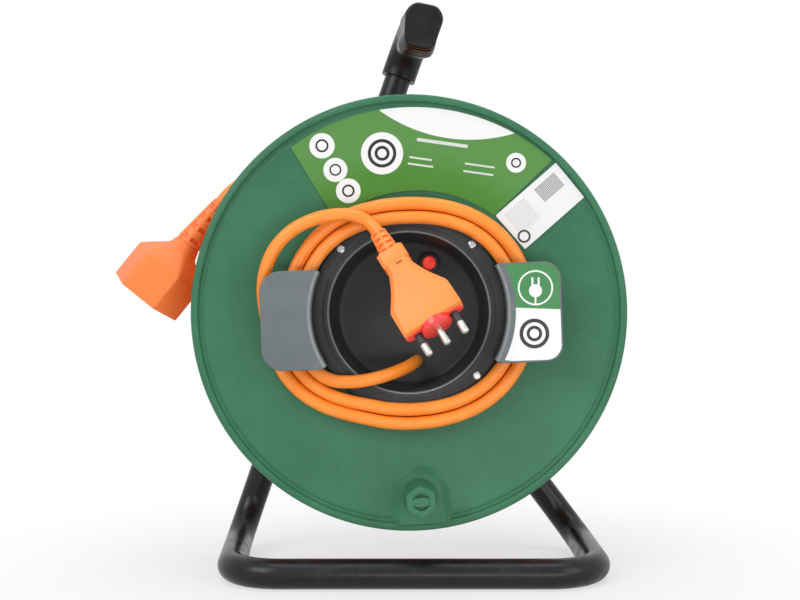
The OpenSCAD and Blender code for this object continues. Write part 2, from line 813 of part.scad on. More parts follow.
// Bar that grips the cable behind the floor
module cord_clamp() {
    half = clamp_reach + clamp_boss_r;
    color(moulded_black) on_drum()
        translate([cord_hole.x, cord_hole.y, floor_back_z - clamp_boss_h - clamp_t]) difference() {
            translate([-half, -clamp_w / 2, 0]) cube([2 * half, clamp_w, clamp_t]);
            translate([0, 0, -1]) cylinder(r = cord_d / 2 + seat_gap, h = clamp_t + 2);
            for (side = [-1, 1])
                translate([side * clamp_reach, 0, -1]) cylinder(r = screw_r + seat_gap, h = clamp_t + 2);
        }
}

module clamp_screws() {
    color(bright_steel) on_drum()
        for (side = [-1, 1])
            translate([cord_hole.x + side * clamp_reach, cord_hole.y,
                       floor_back_z - clamp_boss_h - clamp_t + clamp_screw_len])
                mirror([0, 0, 1]) fixing_screw(clamp_screw_len);
}

// ---- Winding knob ----

// Post with two snap lugs that hold the knob on
module knob_post() {
    color(drum_green) on_drum() around(1, knob_orbit, knob_angle) {
        translate([0, 0, boss_h - post_root])
            cylinder(d = post_d, h = knob_front_z - boss_h + post_root - end_gap);
        translate([0, 0, knob_front_z - lug_t - end_gap]) intersection() {
            cylinder(r = lug_r, h = lug_t);
            translate([-lug_w / 2, -lug_r, 0]) cube([lug_w, 2 * lug_r, lug_t]);
        }
    }
}

module winding_knob() {
    front_r = knob_af / 2 / cos(30);
    color(drum_green) on_drum() around(1, knob_orbit, knob_angle) translate([0, 0, knob_z]) difference() {
        union() {
            cylinder(d = knob_foot_d, h = knob_foot_h);
            intersection() {
                rotate([0, 0, 30]) cylinder(r1 = knob_foot_d / 2, r2 = front_r, h = knob_h, $fn = 6);
                cylinder(d1 = knob_foot_d - knob_round, d2 = 2 * front_r - knob_round, h = knob_h);
            }
        }
        translate([0, 0, -1]) cylinder(r = post_d / 2 + run_gap, h = knob_h + 2);
        translate([0, 0, knob_h - snap_depth]) cylinder(r = snap_r, h = snap_depth + 1);
    }
}

// ---- Cable on the drum ----

// Inner layers of the winding, as one plain body under the turns that show
module winding_core() {
    chord_r = layer_r * cos(180 / ring_steps);
    color(cable_orange) on_drum() translate([0, 0, rear_inner_z + cord_gap]) difference() {
        cylinder(r = chord_r - cord_d / 2 - cord_gap, h = layer_width - 2 * cord_gap, $fn = 144);
        translate([0, 0, -1]) cylinder(r = barrel_r + cord_gap, h = layer_width + 2, $fn = 144);
    }
}

module winding_layer() {
    color(cable_orange) on_drum() cable(layer_route, form_sides);
}

module tail_lead() {
    color(cable_orange) on_drum() cable(tail_lead_route, tube_sides);
}

module tail_coil() {
    color(cable_orange) on_drum() cable(coil_route, form_sides);
}

module tail_loop() {
    color(cable_orange) on_drum() cable(tail_loop_route, tube_sides);
}

module trailing_lead() {
    color(cable_orange) at_axis() cable(trailing_route, tube_sides);
}

// ---- Plug on the cable's tail ----

// Plug frame: z along the pins, y across them, x through the plug's thickness
module on_plug() {
    on_drum() translate(plug_at) rotate([0, 0, plug_heading]) rotate([0, 90 - plug_tilt, 0]) children();
}

module at_pins() {
    for (i = [-1 : 1]) translate([0, i * pin_step, 0]) children();
}

module plug_body() {
    root_r = relief_tip_r + relief_spread;
    color(cable_orange) on_plug() difference() {
        union() {
            relief(plug_relief_len, relief_tip_r, root_r, 3, 2, root_r);
            translate([0, 0, plug_relief_len]) flat_loft(plug_sections);
        }
        at_pins() translate([0, 0, plug_end - pin_root])
            cylinder(d = pin_d + 2 * seat_gap, h = pin_root + 1);
    }
}

// Pin carrier: a narrow bar with a round boss at its middle
module plug_bridge() {
    reach = plug_half_w - bridge_bar_r - bridge_rim;
    color(bridge_red) on_plug() translate([0, 0, plug_end]) difference() {
        union() {
            linear_extrude(bridge_bar_t) {
                square([2 * bridge_bar_r, 2 * reach], center = true);
                for (side = [-1, 1]) translate([0, side * reach]) circle(r = bridge_bar_r);
            }
            cylinder(d = bridge_boss_d, h = bridge_t);
        }
        at_pins() translate([0, 0, -1]) cylinder(d = pin_d + 2 * seat_gap, h = bridge_t + 2);
    }
}

// Outline of half a pin, thinner where it is sleeved
module pin(sleeved) {
    neck = sleeved ? pin_d / 2 - sleeve_t : pin_d / 2;
    base = plug_end + bridge_bar_t;
    rotate_extrude() polygon(rounded(
        [
            [0, plug_end - pin_root], [pin_d / 2, plug_end - pin_root], [pin_d / 2, base], [neck, base],
            [neck, base + sleeve_len], [pin_d / 2, base + sleeve_len], [pin_d / 2, base + pin_len],
            [0, base + pin_len]
        ],
        [0, 0, 0, 0, 0, 0, 1.6, 0]
    ));
}

module plug_pins() {
    color(bright_steel) on_plug() {
        for (i = [-1, 1]) translate([0, i * pin_step, 0]) pin(true);
        pin(false);
    }
}

module pin_sleeves() {
    color(moulded_black) on_plug()
        for (i = [-1, 1])
            translate([0, i * pin_step, plug_end + bridge_bar_t]) difference() {
                cylinder(d = pin_d, h = sleeve_len);
                translate([0, 0, -1]) cylinder(r = pin_d / 2 - sleeve_t + seat_gap / 2, h = sleeve_len + 2);
            }
}

// ---- Socket on the cable's trailing end ----

// Socket frame: z out of the mouth, y across the holes
module on_socket() {
    at_axis() translate(socket_at) rotate([0, 0, socket_heading]) rotate([0, 90, 0]) children();
}

// Hexagon with two corners on the y axis, each corner cut off a little way along its sides
function cut_hexagon(r) =
    let (points = [for (i = [0 : 5]) r * [cos(30 + 60 * i), sin(30 + 60 * i)]])
    [for (i = [0 : 5], turn = [5, 1])
        points[i] + socket_round * unit(points[(i + turn) % 6] - points[i])];

module hexagon(across, length) {
    linear_extrude(length) polygon(cut_hexagon(across / 2));
}

module socket_body() {
    head_z = socket_len - socket_head_len;
    neck_z = socket_len - socket_neck_len;
    relief_len = neck_z - socket_neck_flare;
    cavity = face_inset + face_len;
    rings = [[neck_z - socket_neck_root, socket_neck_r], [head_z, socket_w / 2], [socket_len, socket_w / 2]];
    color(socket_orange) on_socket() difference() {
        union() {
            relief(relief_len, relief_tip_r, socket_neck_r - 2.5, 4,
                   socket_neck_flare, socket_neck_r + socket_neck_step);
            translate([0, 0, relief_len])
                cylinder(r = socket_neck_r * cos(30) - 0.5, h = socket_len - cavity - relief_len - 0.2);
            polyhedron(
                [for (ring = rings, p = cut_hexagon(ring[1])) [p.x, p.y, ring[0]]],
                skin_faces(len(rings), 12)
            );
        }
        translate([0, 0, socket_len - cavity])
            hexagon(socket_w - 2 * socket_wall, cavity + 1);
    }
}

// Face block with a hole and a contact pocket for each pin
module socket_face() {
    color(moulded_black) on_socket() translate([0, 0, socket_len - face_inset - face_len]) difference() {
        hexagon(socket_w - 2 * socket_wall - 2 * seat_gap, face_len);
        at_pins() {
            translate([0, 0, face_len - bore_len]) cylinder(d = socket_hole_d, h = bore_len + 1);
            translate([0, 0, face_len - bore_len - contact_len])
                cylinder(d = contact_d + 2 * seat_gap, h = contact_len + 0.5);
        }
    }
}

module socket_contacts() {
    color(brass) on_socket() translate([0, 0, socket_len - face_inset - bore_len - contact_len])
        at_pins() difference() {
            cylinder(d = contact_d, h = contact_len);
            translate([0, 0, -1]) cylinder(d = contact_d - 2 * contact_t, h = contact_len + 2);
        }
}

frame_tube();
grip();
axle_cap();
axle_washer();
axle_spacer();
front_flange();
drum_core();
rear_flange();
rear_screws();
storage_cup();
cup_screws();
cutout_body();
cutout_nut();
reset_button();
cord_clamp();
clamp_screws();
knob_post();
winding_knob();
winding_core();
winding_layer();
tail_lead();
tail_coil();
tail_loop();
plug_body();
plug_bridge();
plug_pins();
pin_sleeves();
trailing_lead();
socket_body();
socket_face();
socket_contacts();
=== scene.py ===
import math

import bmesh
import bpy
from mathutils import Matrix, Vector


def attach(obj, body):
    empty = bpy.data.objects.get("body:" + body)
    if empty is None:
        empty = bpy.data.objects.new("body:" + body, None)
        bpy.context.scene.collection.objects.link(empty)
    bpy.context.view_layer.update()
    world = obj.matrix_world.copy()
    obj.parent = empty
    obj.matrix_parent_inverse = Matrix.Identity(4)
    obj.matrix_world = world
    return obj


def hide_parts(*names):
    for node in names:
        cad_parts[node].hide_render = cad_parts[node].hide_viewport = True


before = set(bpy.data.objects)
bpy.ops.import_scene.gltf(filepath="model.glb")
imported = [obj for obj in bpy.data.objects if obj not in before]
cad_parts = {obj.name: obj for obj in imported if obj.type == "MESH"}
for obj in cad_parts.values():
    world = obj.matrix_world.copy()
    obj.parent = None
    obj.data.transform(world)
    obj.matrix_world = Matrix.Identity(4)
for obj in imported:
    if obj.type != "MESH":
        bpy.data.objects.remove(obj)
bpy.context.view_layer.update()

# ---- Camera, studio and floor ----
# The reel is shot from the front on a white table, with one large softbox high on the left,
# a second on the right and a weak one over it.

AXLE_HEIGHT = 0.183
FRONT_RIM = -0.0559
CAMERA_DISTANCE = 0.762

camera = bpy.data.objects.new("camera", bpy.data.cameras.new("camera"))
camera.location = (0, FRONT_RIM - CAMERA_DISTANCE, AXLE_HEIGHT)
camera.rotation_euler = (math.pi / 2, 0, 0)
camera.data.lens = 51.8
camera.data.sensor_width = 36
camera.data.shift_x = -9 / 800
camera.data.shift_y = 12.5 / 800
camera.data.clip_start = 0.01
bpy.context.collection.objects.link(camera)
bpy.context.scene.camera = camera
bpy.context.scene.view_settings.view_transform = "Standard"


class Wire:
    """An output of a node. The operators on it add the Math nodes that work a sum out."""

    def __init__(self, finish, socket):
        self.finish = finish
        self.socket = socket

    def maths(self, operation, *values):
        return self.finish.add("Math", {"operation": operation}, dict(enumerate(values)))

    def __add__(self, other):
        return self.maths("ADD", self, other)

    def __radd__(self, other):
        return self.maths("ADD", other, self)

    def __sub__(self, other):
        return self.maths("SUBTRACT", self, other)

    def __rsub__(self, other):
        return self.maths("SUBTRACT", other, self)

    def __mul__(self, other):
        return self.maths("MULTIPLY", self, other)

    def __rmul__(self, other):
        return self.maths("MULTIPLY", other, self)

    def __truediv__(self, other):
        return self.maths("DIVIDE", self, other)

    def __pow__(self, other):
        return self.maths("POWER", self, other)

    def __abs__(self):
        return self.maths("ABSOLUTE", self)

    def sine(self):
        return self.maths("SINE", self)

    def most(self, *others):
        """The largest of this and the others at each place."""
        best = self
        for other in others:
            best = best.maths("MAXIMUM", best, other)
        return best

    def smooth(self, low, high):
        """0 below low, 1 above high and an even rise between them."""
        return self.finish.add("MapRange", {"interpolation_type": "SMOOTHSTEP"},
                               {0: self, 1: low, 2: high, 3: 0, 4: 1})


class Finish:
    """A material whose shader is written as expressions on the outputs of its nodes."""

    def __init__(self, name, tree=None, **surface):
        self.material = None
        if tree is None:
            self.material = bpy.data.materials.new(name)
            self.material.use_nodes = True
            tree = self.material.node_tree
            self.shader = tree.nodes["Principled BSDF"]
            for socket, value in surface.items():
                self.shader.inputs[socket.replace("_", " ")].default_value = value
        self.tree = tree

    def add(self, kind, settings, inputs, output=0):
        node = self.tree.nodes.new("ShaderNode" + kind)
        for key, value in settings.items():
            setattr(node, key, value)
        for key, value in inputs.items():
            self.feed(node.inputs[key], value)
        return Wire(self, node.outputs[output])

    def feed(self, socket, value):
        if isinstance(value, Wire):
            self.tree.links.new(value.socket, socket)
        elif isinstance(value, (tuple, list)) and socket.type == "RGBA" and len(value) == 3:
            socket.default_value = (*value, 1)
        else:
            socket.default_value = value

    def surface(self, **sockets):
        for key, value in sockets.items():
            self.feed(self.shader.inputs[key.replace("_", " ")], value)
        return self

    def place(self, output="Object"):
        return self.add("TexCoord", {}, {}, output)

    def axes(self, vector=None):
        split = self.add("SeparateXYZ", {}, {0: vector or self.place()})
        return [Wire(self, split.socket.node.outputs[i]) for i in range(3)]

    def stretch(self, scale):
        return self.add("VectorMath", {"operation": "MULTIPLY"}, {0: self.place(), 1: scale})

    def noise(self, scale, detail=2, vector=None, roughness=0.5):
        return self.add("TexNoise", {}, {"Vector": vector or self.place(), "Scale": scale,
                                         "Detail": detail, "Roughness": roughness})

    def mix(self, share, low, high):
        return self.add("Mix", {"data_type": "RGBA"}, {0: share, 6: low, 7: high}, 2)

    def bump(self, height, depth=1.0):
        """A relief whose height is in metres where the depth is 1."""
        return self.add("Bump", {}, {"Height": height, "Distance": depth})


def softbox(name, place, aim, size, watts):
    light = bpy.data.objects.new(name, bpy.data.lights.new(name, "AREA"))
    light.data.shape = "RECTANGLE"
    light.data.size, light.data.size_y = size
    light.data.energy = watts
    light.location = place
    light.rotation_euler = (Vector(aim) - Vector(place)).to_track_quat("-Z", "Y").to_euler()
    light.visible_camera = False
    bpy.context.collection.objects.link(light)


softbox("key", (-1.15, -1.35, 1.25), (0, 0, 0.17), (1.1, 1.1), 18.5)
softbox("fill", (1.35, -1.2, 0.85), (0, 0, 0.17), (0.9, 1.2), 8)
softbox("top", (0.1, -0.25, 1.7), (0, 0, 0.15), (1.3, 0.9), 9.5)
softbox("low", (0.16, -0.62, 0.02), (0.03, -0.06, 0.06), (0.5, 0.16), 1.3)

world = bpy.data.worlds.new("studio")
bpy.context.scene.world = world
world.use_nodes = True
air = Finish("studio", world.node_tree)
lit = world.node_tree.nodes["Background"]
lit.inputs["Color"].default_value = (0.36, 0.36, 0.37, 1)
white = air.add("Background", {}, {"Color": (1, 1, 1), "Strength": 1})


def looked_at(finish):
    """1 where a surface is seen, straight or in a gloss or through glass, and 0 where it gives light."""
    eye, gloss, glass = (finish.add("LightPath", {}, {}, "Is %s Ray" % kind)
                         for kind in ("Camera", "Glossy", "Transmission"))
    return eye.most(gloss, glass)


behind = air.add("MixShader", {}, {0: looked_at(air), 1: Wire(air, lit.outputs[0]), 2: white})
world.node_tree.links.new(behind.socket, world.node_tree.nodes["World Output"].inputs["Surface"])

sheet = bmesh.new()
bmesh.ops.create_grid(sheet, x_segments=8, y_segments=8, size=2.2)
floor = bpy.data.objects.new("floor", bpy.data.meshes.new("floor"))
sheet.to_mesh(floor.data)
sheet.free()
bpy.context.collection.objects.link(floor)
table = Finish("white_table", Base_Color=(0.82, 0.82, 0.82, 1), Roughness=0.7)
across, away, _ = table.axes()
far = ((across * across + away * away) ** 0.5).smooth(0.1, 0.4)
glow = table.add("Emission", {}, {"Color": (1, 1, 1), "Strength": 1})
cover = table.add("MixShader", {}, {0: (0.62 + 0.38 * far) * looked_at(table),
                                    1: Wire(table, table.shader.outputs[0]), 2: glow})
table.tree.links.new(cover.socket, table.tree.nodes["Material Output"].inputs["Surface"])
floor.data.materials.append(table.material)

# ---- Cable ----
# Round PVC cable of 8.6 mm with three cores under a satin orange sheath, whose twist just shows.
# One length leaves the hole in the cup's floor, winds round the two ears and ends in the plug.
# The other comes off the winding at the left and ends in the socket.

CABLE = 8.6
TURNED = math.radians(2.1)


def at_axis(x, y, z):
    """A point of the drum before it turns, x right, y up and z forward in mm, as a place in metres."""
    return Vector((x / 1000, FRONT_RIM - z / 1000, AXLE_HEIGHT + y / 1000))


def on_drum(x, y, z):
    """The same for a point of the drum as it stands, turned a little on its axle."""
    c, s = math.cos(TURNED), math.sin(TURNED)
    return at_axis(x * c - y * s, x * s + y * c, z)


def curve_through(points, step):
    """Points of a smooth curve through the given ones, about one step apart in their own unit."""
    ends = [points[0] * 2 - points[1], *points, points[-1] * 2 - points[-2]]
    smooth = []
    for a, b, c, d in zip(ends, ends[1:], ends[2:], ends[3:]):
        reach = (c - b).length
        pull_b = (c - a) * reach / max((c - a).length, 1e-9)
        pull_c = (d - b) * reach / max((d - b).length, 1e-9)
        count = max(1, round(reach / step))
        for k in range(count):
            t = k / count
            smooth.append(b * (2 * t**3 - 3 * t**2 + 1) + c * (3 * t**2 - 2 * t**3)
                          + pull_b * (t**3 - 2 * t**2 + t) + pull_c * (t**3 - t**2))
    return smooth + [points[-1]]


def piece(name, vertices, faces, finish, body, slot, uvs=None, sharp=None):
    """A mesh piece with one finish, riding on a body. Edges sharper than the angle stay crisp."""
    mesh = bpy.data.meshes.new(name)
    mesh.from_pydata([tuple(v) for v in vertices], [], faces)
    mesh.update()
    if uvs:
        layer = mesh.uv_layers.new(name="along")
        for corner, uv in zip(layer.data, uvs):
            corner.uv = uv
    made = bpy.data.objects.new(name, mesh)
    bpy.context.collection.objects.link(made)
    mesh.shade_smooth()
    if sharp:
        mesh.set_sharp_from_angle(angle=math.radians(sharp))
    mesh.materials.append(finish.material)
    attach(made, body)
    return made


def skin(rings, caps=True):
    """Vertices and faces of a skin over closed rings of points of equal count, capped or open."""
    count = len(rings[0])
    faces = [(r * count + s, r * count + (s + 1) % count,
              (r + 1) * count + (s + 1) % count, (r + 1) * count + s)
             for r in range(len(rings) - 1) for s in range(count)]
    if caps:
        faces.append(tuple(reversed(range(count))))
        faces.append(tuple(range((len(rings) - 1) * count, len(rings) * count)))
    return [p for ring in rings for p in ring], faces


def together(solids):
    """Vertices and faces of several solids as one mesh."""
    vertices, faces = [], []
    for some, more in solids:
        faces += [tuple(v + len(vertices) for v in face) for face in more]
        vertices += some
    return vertices, faces


def carried_frames(path):
    """Direction, and two directions square to it, at each point of a path, without twist."""
    frames = []
    side = None
    for before, after in zip([path[0], *path], [*path[1:], path[-1]]):
        along = (after - before).normalized()
        if side is None:
            side = along.orthogonal().normalized()
        side = (side - along * side.dot(along)).normalized()
        frames.append((along, side, along.cross(side)))
    return frames


def tube(path, diameter, sides):
    """Rings and faces of a round tube along a path, with its length and girth as UVs."""
    rings = []
    run = [0]
    for a, b in zip(path, path[1:]):
        run.append(run[-1] + (b - a).length)
    for centre, (_, side, over) in zip(path, carried_frames(path)):
        rings.append([centre + (side * math.cos(a) + over * math.sin(a)) * diameter / 2
                      for a in (2 * math.pi * s / sides for s in range(sides))])
    vertices, faces = skin(rings)
    uvs = []
    for r in range(len(path) - 1):
        for s in range(sides):
            uvs += [(run[r], s / sides), (run[r], (s + 1) / sides),
                    (run[r + 1], (s + 1) / sides), (run[r + 1], s / sides)]
    uvs += [(0, 0)] * (2 * sides)
    return vertices, faces, uvs


sheath = Finish("orange_sheath", Coat_Roughness=0.35, Specular_IOR_Level=0.45)
along, girth, _ = sheath.axes(sheath.place("UV"))
lay = ((along / 0.052 + girth) * (2 * math.pi * 3)).sine()
scuffs = sheath.noise(240, 4).smooth(0.55, 0.8)
drift = sheath.noise(45, 2)
grain = sheath.noise(2600, 2)
hue = sheath.mix(drift.smooth(0.3, 0.7), (0.93, 0.245, 0.018), (0.94, 0.28, 0.028))
hue = sheath.mix(scuffs * 0.25, hue, (0.97, 0.36, 0.08))
sheath.surface(
    Base_Color=hue,
    Roughness=0.36 + 0.12 * scuffs + 0.05 * grain,
    Coat_Weight=0.06 + 0.05 * drift,
    Normal=sheath.bump(lay * 0.00007 + grain * 0.00002 + drift * 0.00012),
)

HOLE = (4.5, -33.5, -42)
tail_points = [
    HOLE, (3.8, -33.9, -33), (1.5, -35, -23.8), (-3, -36.8, -14.3), (-8.5, -38.7, -7),
    (-15, -40.6, -1.1), (-22, -42.2, 3.1), (-29, -43.3, 5.9), (-36, -44, 7.5), (-43, -43.9, 8.2),
    (-51.3, -42.7, 8.8), (-58.7, -38.9, 9.1), (-64.6, -32.9, 8.7), (-68.9, -25.3, 7.1), (-71, -17.2, 5.7),
]
EAR_INNER, EAR_OUTER = 62.9, 66.4
EAR_TURN = EAR_OUTER + CABLE / 2 + 0.3
COIL_HEIGHT = 1 + CABLE / 2 + 0.3
COIL_STEPS, COIL_STEP = 95, 7.5
FLAT_TOP, FLAT_LOW = 62.6, 63.7
STEP_OUT, SETTLE = 11.6, 2.45


def ease(value, low, high):
    """0 below low, 1 above high and an even rise between them, for a number."""
    t = min(1, max(0, (value - low) / (high - low)))
    return t * t * (3 - 2 * t)


for step in range(COIL_STEPS):
    wound_by = COIL_STEP * step
    a = math.radians(180 - wound_by)
    flat = FLAT_TOP if math.sin(a) > 0 else FLAT_LOW
    radius = (EAR_TURN - (EAR_TURN - flat) * math.sin(a) ** 4 + STEP_OUT * ease(wound_by, 292, 341)
              - SETTLE * ease(wound_by, 350, 385) + STEP_OUT * ease(wound_by, 652, 701))
    tail_points.append((radius * math.cos(a), radius * math.sin(a), COIL_HEIGHT))
PLUG_AT = Vector((-19.55, 54.27, 18.45))
heading, tilt = math.radians(-60), math.radians(25.5)
PLUG_ALONG = Vector((math.cos(tilt) * math.cos(heading), math.cos(tilt) * math.sin(heading), math.sin(tilt)))
tail_points += [
    (-92.7, -6, 5.8), (-94.6, 8.5, 7.2), (-94.8, 19.5, 8.8), (-92.6, 31, 10.8), (-87.6, 42, 12.8),
    (-79.6, 51.6, 14.4), (-69.4, 58.7, 15.4), (-57.5, 63.2, 15.9), (-50, 64.6, 15.8), (-42.6, 65.1, 15.5),
    (-35.2, 64.6, 15.1), (-28.5, 62.4, 15.1), (-23.6, 58.9, 15.8),
    tuple(PLUG_AT - PLUG_ALONG), tuple(PLUG_AT + PLUG_ALONG * 3), tuple(PLUG_AT + PLUG_ALONG * 8),
]
tail_path = curve_through([on_drum(*p) for p in tail_points], 0.0022)
vertices, faces, uvs = tube(tail_path, CABLE / 1000, 24)
tail = piece("tail", vertices, faces, sheath, "drum", "cable_orange", uvs)
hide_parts("tail_lead", "tail_coil", "tail_loop")
tail_length = sum((b - a).length for a, b in zip(tail_path, tail_path[1:]))

# ---- Plug ----
# Moulded on the tail in the same orange PVC: a slotted bending relief, a collar, and a flat body
# that flares to its mouth. A red pin carrier closes the mouth and holds three nickelled pins,
# the outer two with dark sleeves.


def rounded(corners, radii, steps):
    """Outline of a polygon with its corners rounded, with steps + 1 points at each corner."""
    outline = []
    count = len(corners)
    for i, radius in enumerate(radii):
        at = Vector(corners[i])
        a = (Vector(corners[i - 1]) - at).normalized()
        b = (Vector(corners[(i + 1) % count]) - at).normalized()
        half = math.acos(max(-1, min(1, a.dot(b)))) / 2
        middle = at + (a + b).normalized() * radius / math.sin(half)
        start = at + a * radius / math.tan(half) - middle
        stop = at + b * radius / math.tan(half) - middle
        for k in range(steps + 1):
            t = k / steps
            outline.append(middle + (start * (1 - t) + stop * t).normalized() * radius)
    return outline


def plug_place(thick, across, along):
    """A point of the plug, measured from the end of its relief, in metres."""
    side = Vector((-math.sin(heading), math.cos(heading), 0))
    back = Vector((math.sin(tilt) * math.cos(heading), math.sin(tilt) * math.sin(heading), -math.cos(tilt)))
    return on_drum(*(PLUG_AT + back * thick + side * across + PLUG_ALONG * along))


def slotted_relief(place, length, tip, root):
    """Rings of a bending relief: a cone with rows of short slots in pairs and ribs between them."""
    rows, bore, slot_depth = 4, 4.2, 2.0
    rings = [[place(bore * math.cos(a), bore * math.sin(a), 1.5) for a in GIRTH]]
    rings.append([place((tip - 0.5) * math.cos(a), (tip - 0.5) * math.sin(a), 0) for a in GIRTH])
    count = rows * 10
    for k in range(1, count + 1):
        z = length * k / count
        radius = tip + (root - tip) * k / count
        row = k // 10
        cut = 1 if k % 10 in (5, 6, 7) and row < rows else 0
        ring = []
        for a in GIRTH:
            swing = abs(math.sin(a))
            deep = min(1, max(0, (0.93 - swing) * 9)) * min(1, max(0, (swing - 0.16) * 9))
            r = radius - cut * deep * slot_depth
            ring.append(place(r * math.cos(a), r * math.sin(a), z))
        rings.append(ring)
    return rings


GIRTH = [2 * math.pi * i / 64 for i in range(64)]


def orange_pvc(name, cloud_scale, rub_scale, rub_from, roughness, deep, light, worn):
    """Satin orange moulding in two close shades, rubbed to a paler one in places."""
    finish = Finish(name, Coat_Roughness=0.3, Specular_IOR_Level=0.4)
    pebble = finish.noise(1500, 3)
    cloud = finish.noise(cloud_scale, 3)
    rub = finish.noise(rub_scale, 5).smooth(rub_from, rub_from + 0.2)
    return finish.surface(
        Base_Color=finish.mix(rub * 0.3, finish.mix(cloud, deep, light), worn),
        Roughness=roughness + 0.1 * rub + 0.06 * pebble,
        Coat_Weight=0.06 + 0.05 * cloud,
        Normal=finish.bump(pebble * 0.00003 + cloud * 0.0001),
    )


moulding = orange_pvc("orange_moulding", 60, 330, 0.58, 0.42,
                      (1.0, 0.25, 0.042), (1.0, 0.285, 0.062), (1.0, 0.37, 0.12))

RELIEF_FROM, RELIEF_TO, MOUTH, PIN_TIP, PIN_GAP = 3, 21.5, 78.5, 95.1, 13
vertices, faces = skin(slotted_relief(lambda x, y, z: plug_place(x, y, RELIEF_FROM + z),
                                      RELIEF_TO - RELIEF_FROM, 5.4, 6.9))
relief = piece("plug_relief", vertices, faces, moulding, "drum", "plug_orange", sharp=40)

plug_forms = [
    (20.4, 7.4, 5.6, 6.6, 4.6, 4.2, 6.2, 5.2), (20.7, 8.7, 6.6, 7.7, 5.6, 5.1, 7.3, 6.1),
    (21.3, 9.2, 7, 8.2, 6, 5.5, 7.8, 6.5), (29.8, 9.2, 7, 8.2, 6, 5.5, 7.8, 6.5),
    (30.5, 8.9, 6.7, 7.9, 5.8, 5.3, 7.5, 6.2), (31.1, 7.9, 5.7, 7.6, 5.4, 4.8, 7, 5.1),
    (33.9, 8.3, 5.9, 7.9, 5.6, 4.7, 7.2, 5.3), (37.6, 9, 6.3, 8.2, 5.8, 4.6, 7.4, 5.6),
    (41.3, 10.4, 7.4, 8.6, 6.1, 4.4, 7.5, 5.8), (45, 11.9, 8.8, 8.9, 6.4, 4.2, 7.6, 6),
    (49.2, 13.9, 10.7, 9.1, 6.6, 4, 7.5, 6), (53.4, 16.3, 12.9, 9.3, 6.9, 3.8, 7.4, 6),
    (57.1, 18.5, 15, 9.4, 7.1, 3.5, 7.2, 6), (59.6, 20, 16.7, 9.5, 7.2, 3.2, 7, 6),
    (61.6, 20.6, 17.4, 9.5, 7.3, 3, 6.8, 6), (77.1, 20.7, 18.6, 9.5, 7.5, 3, 6.8, 6),
    (77.9, 20.5, 18.4, 9.3, 7.3, 2.9, 6.6, 5.9), (78.4, 20, 18, 8.9, 6.9, 2.7, 6.2, 5.7),
    (78.5, 19.3, 17.3, 8.2, 6.4, 2.4, 5.6, 5.4),
]
rings = []
for z, half, flat, front, front_edge, back_edge, back, back_flat in plug_forms:
    corners = [(back, back_flat), (back_edge, half), (-front_edge, half), (-front, flat),
               (-front, -flat), (-front_edge, -half), (back_edge, -half), (back, -back_flat)]
    outline = rounded(corners, [2, 1.2, 1, 0.9, 0.9, 1, 1.2, 2], 5)
    rings.append([plug_place(p.x, p.y, z) for p in outline])
body = piece("plug_housing", *skin(rings), moulding, "drum", "plug_orange", sharp=32)

# A thin dark orange sheet laid on the body just past the collar: painted shadow.
painted_shadow_rings = []
for k, (depth, half, wide) in enumerate([(0.35, 2.6, 0.55), (-0.1, 2.3, 0.3), (-0.1, 0.2, 0.02)]):
    painted_shadow_rings.append([plug_place(-8 - depth, 1.2 + half * math.cos(a), 33.2 + wide * math.sin(a))
                  for a in GIRTH[::4]])
shade = Finish("moulding_shadow", Base_Color=(0.42, 0.07, 0.01, 1), Roughness=0.6)
shade.surface(Normal=shade.bump(shade.noise(2000), 0.0001))
painted_shadow_patch = piece("plug_painted_shadow", *skin(painted_shadow_rings), shade, "drum", "plug_orange", sharp=40)
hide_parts("plug_body")


def two_shades(name, scale, detail, low, high, smoothest, rougher, relief, **surface):
    """A finish whose shade, roughness and relief, in metres, follow one noise."""
    finish = Finish(name, **surface)
    grain = finish.noise(scale, detail)
    return finish.surface(Base_Color=finish.mix(grain, low, high), Roughness=smoothest + rougher * grain,
                          Normal=finish.bump(grain * relief))


carrier = two_shades("red_carrier", 180, 3, (0.78, 0.035, 0.03), (0.9, 0.06, 0.045), 0.28, 0.12, 0.00008,
                     Coat_Weight=0.35, Coat_Roughness=0.15)
solids = []
for radius, far, levels in ((4, 16.2, (-0.3, 0.45, 0.7, 0.8)), (10.3, 0, (-0.3, 3.2, 3.7, 3.9))):
    rings = []
    for level, inset in zip(levels, (0, 0, 0.1, 0.4)):
        ring = []
        for i in range(48):
            a = 2 * math.pi * (i + 0.5) / 48
            ring.append(plug_place((radius - inset) * math.cos(a),
                                   (radius - inset) * math.sin(a) + math.copysign(far, math.sin(a)),
                                   MOUTH + level))
        rings.append(ring)
    solids.append(skin(rings))
bridge = piece("pin_carrier", *together(solids), carrier, "drum", "bridge_red", sharp=35)
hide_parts("plug_bridge")


def turned(profile, place, steps=48, caps=True):
    """Vertices and faces of a turned solid, from (radius, height) points, its ends closed or open."""
    rings = [[place(r * math.cos(a), r * math.sin(a), h)
              for a in (2 * math.pi * i / steps for i in range(steps))] for r, h in profile]
    return skin(rings, caps)


nickel = two_shades("nickel_plate", 900, 4, (0.5, 0.49, 0.46), (0.66, 0.65, 0.62), 0.26, 0.14, 0.00002,
                    Metallic=1.0)
solids = []
for i in (-1, 0, 1):
    slim = 1.9 if i else 2.5
    profile = [(2.5, MOUTH - 9.9), (2.5, MOUTH + 0.8), (slim, MOUTH + 0.85), (slim, PIN_TIP - 8),
               (2.5, PIN_TIP - 8), (2.5, PIN_TIP - 1.7), (2.3, PIN_TIP - 0.8), (1.7, PIN_TIP - 0.2),
               (0.8, PIN_TIP)]
    solids.append(turned(profile, lambda x, y, z: plug_place(x, y + PIN_GAP * i, z), 32))
pins = piece("pins", *together(solids), nickel, "drum", "nickel", sharp=35)
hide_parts("plug_pins")

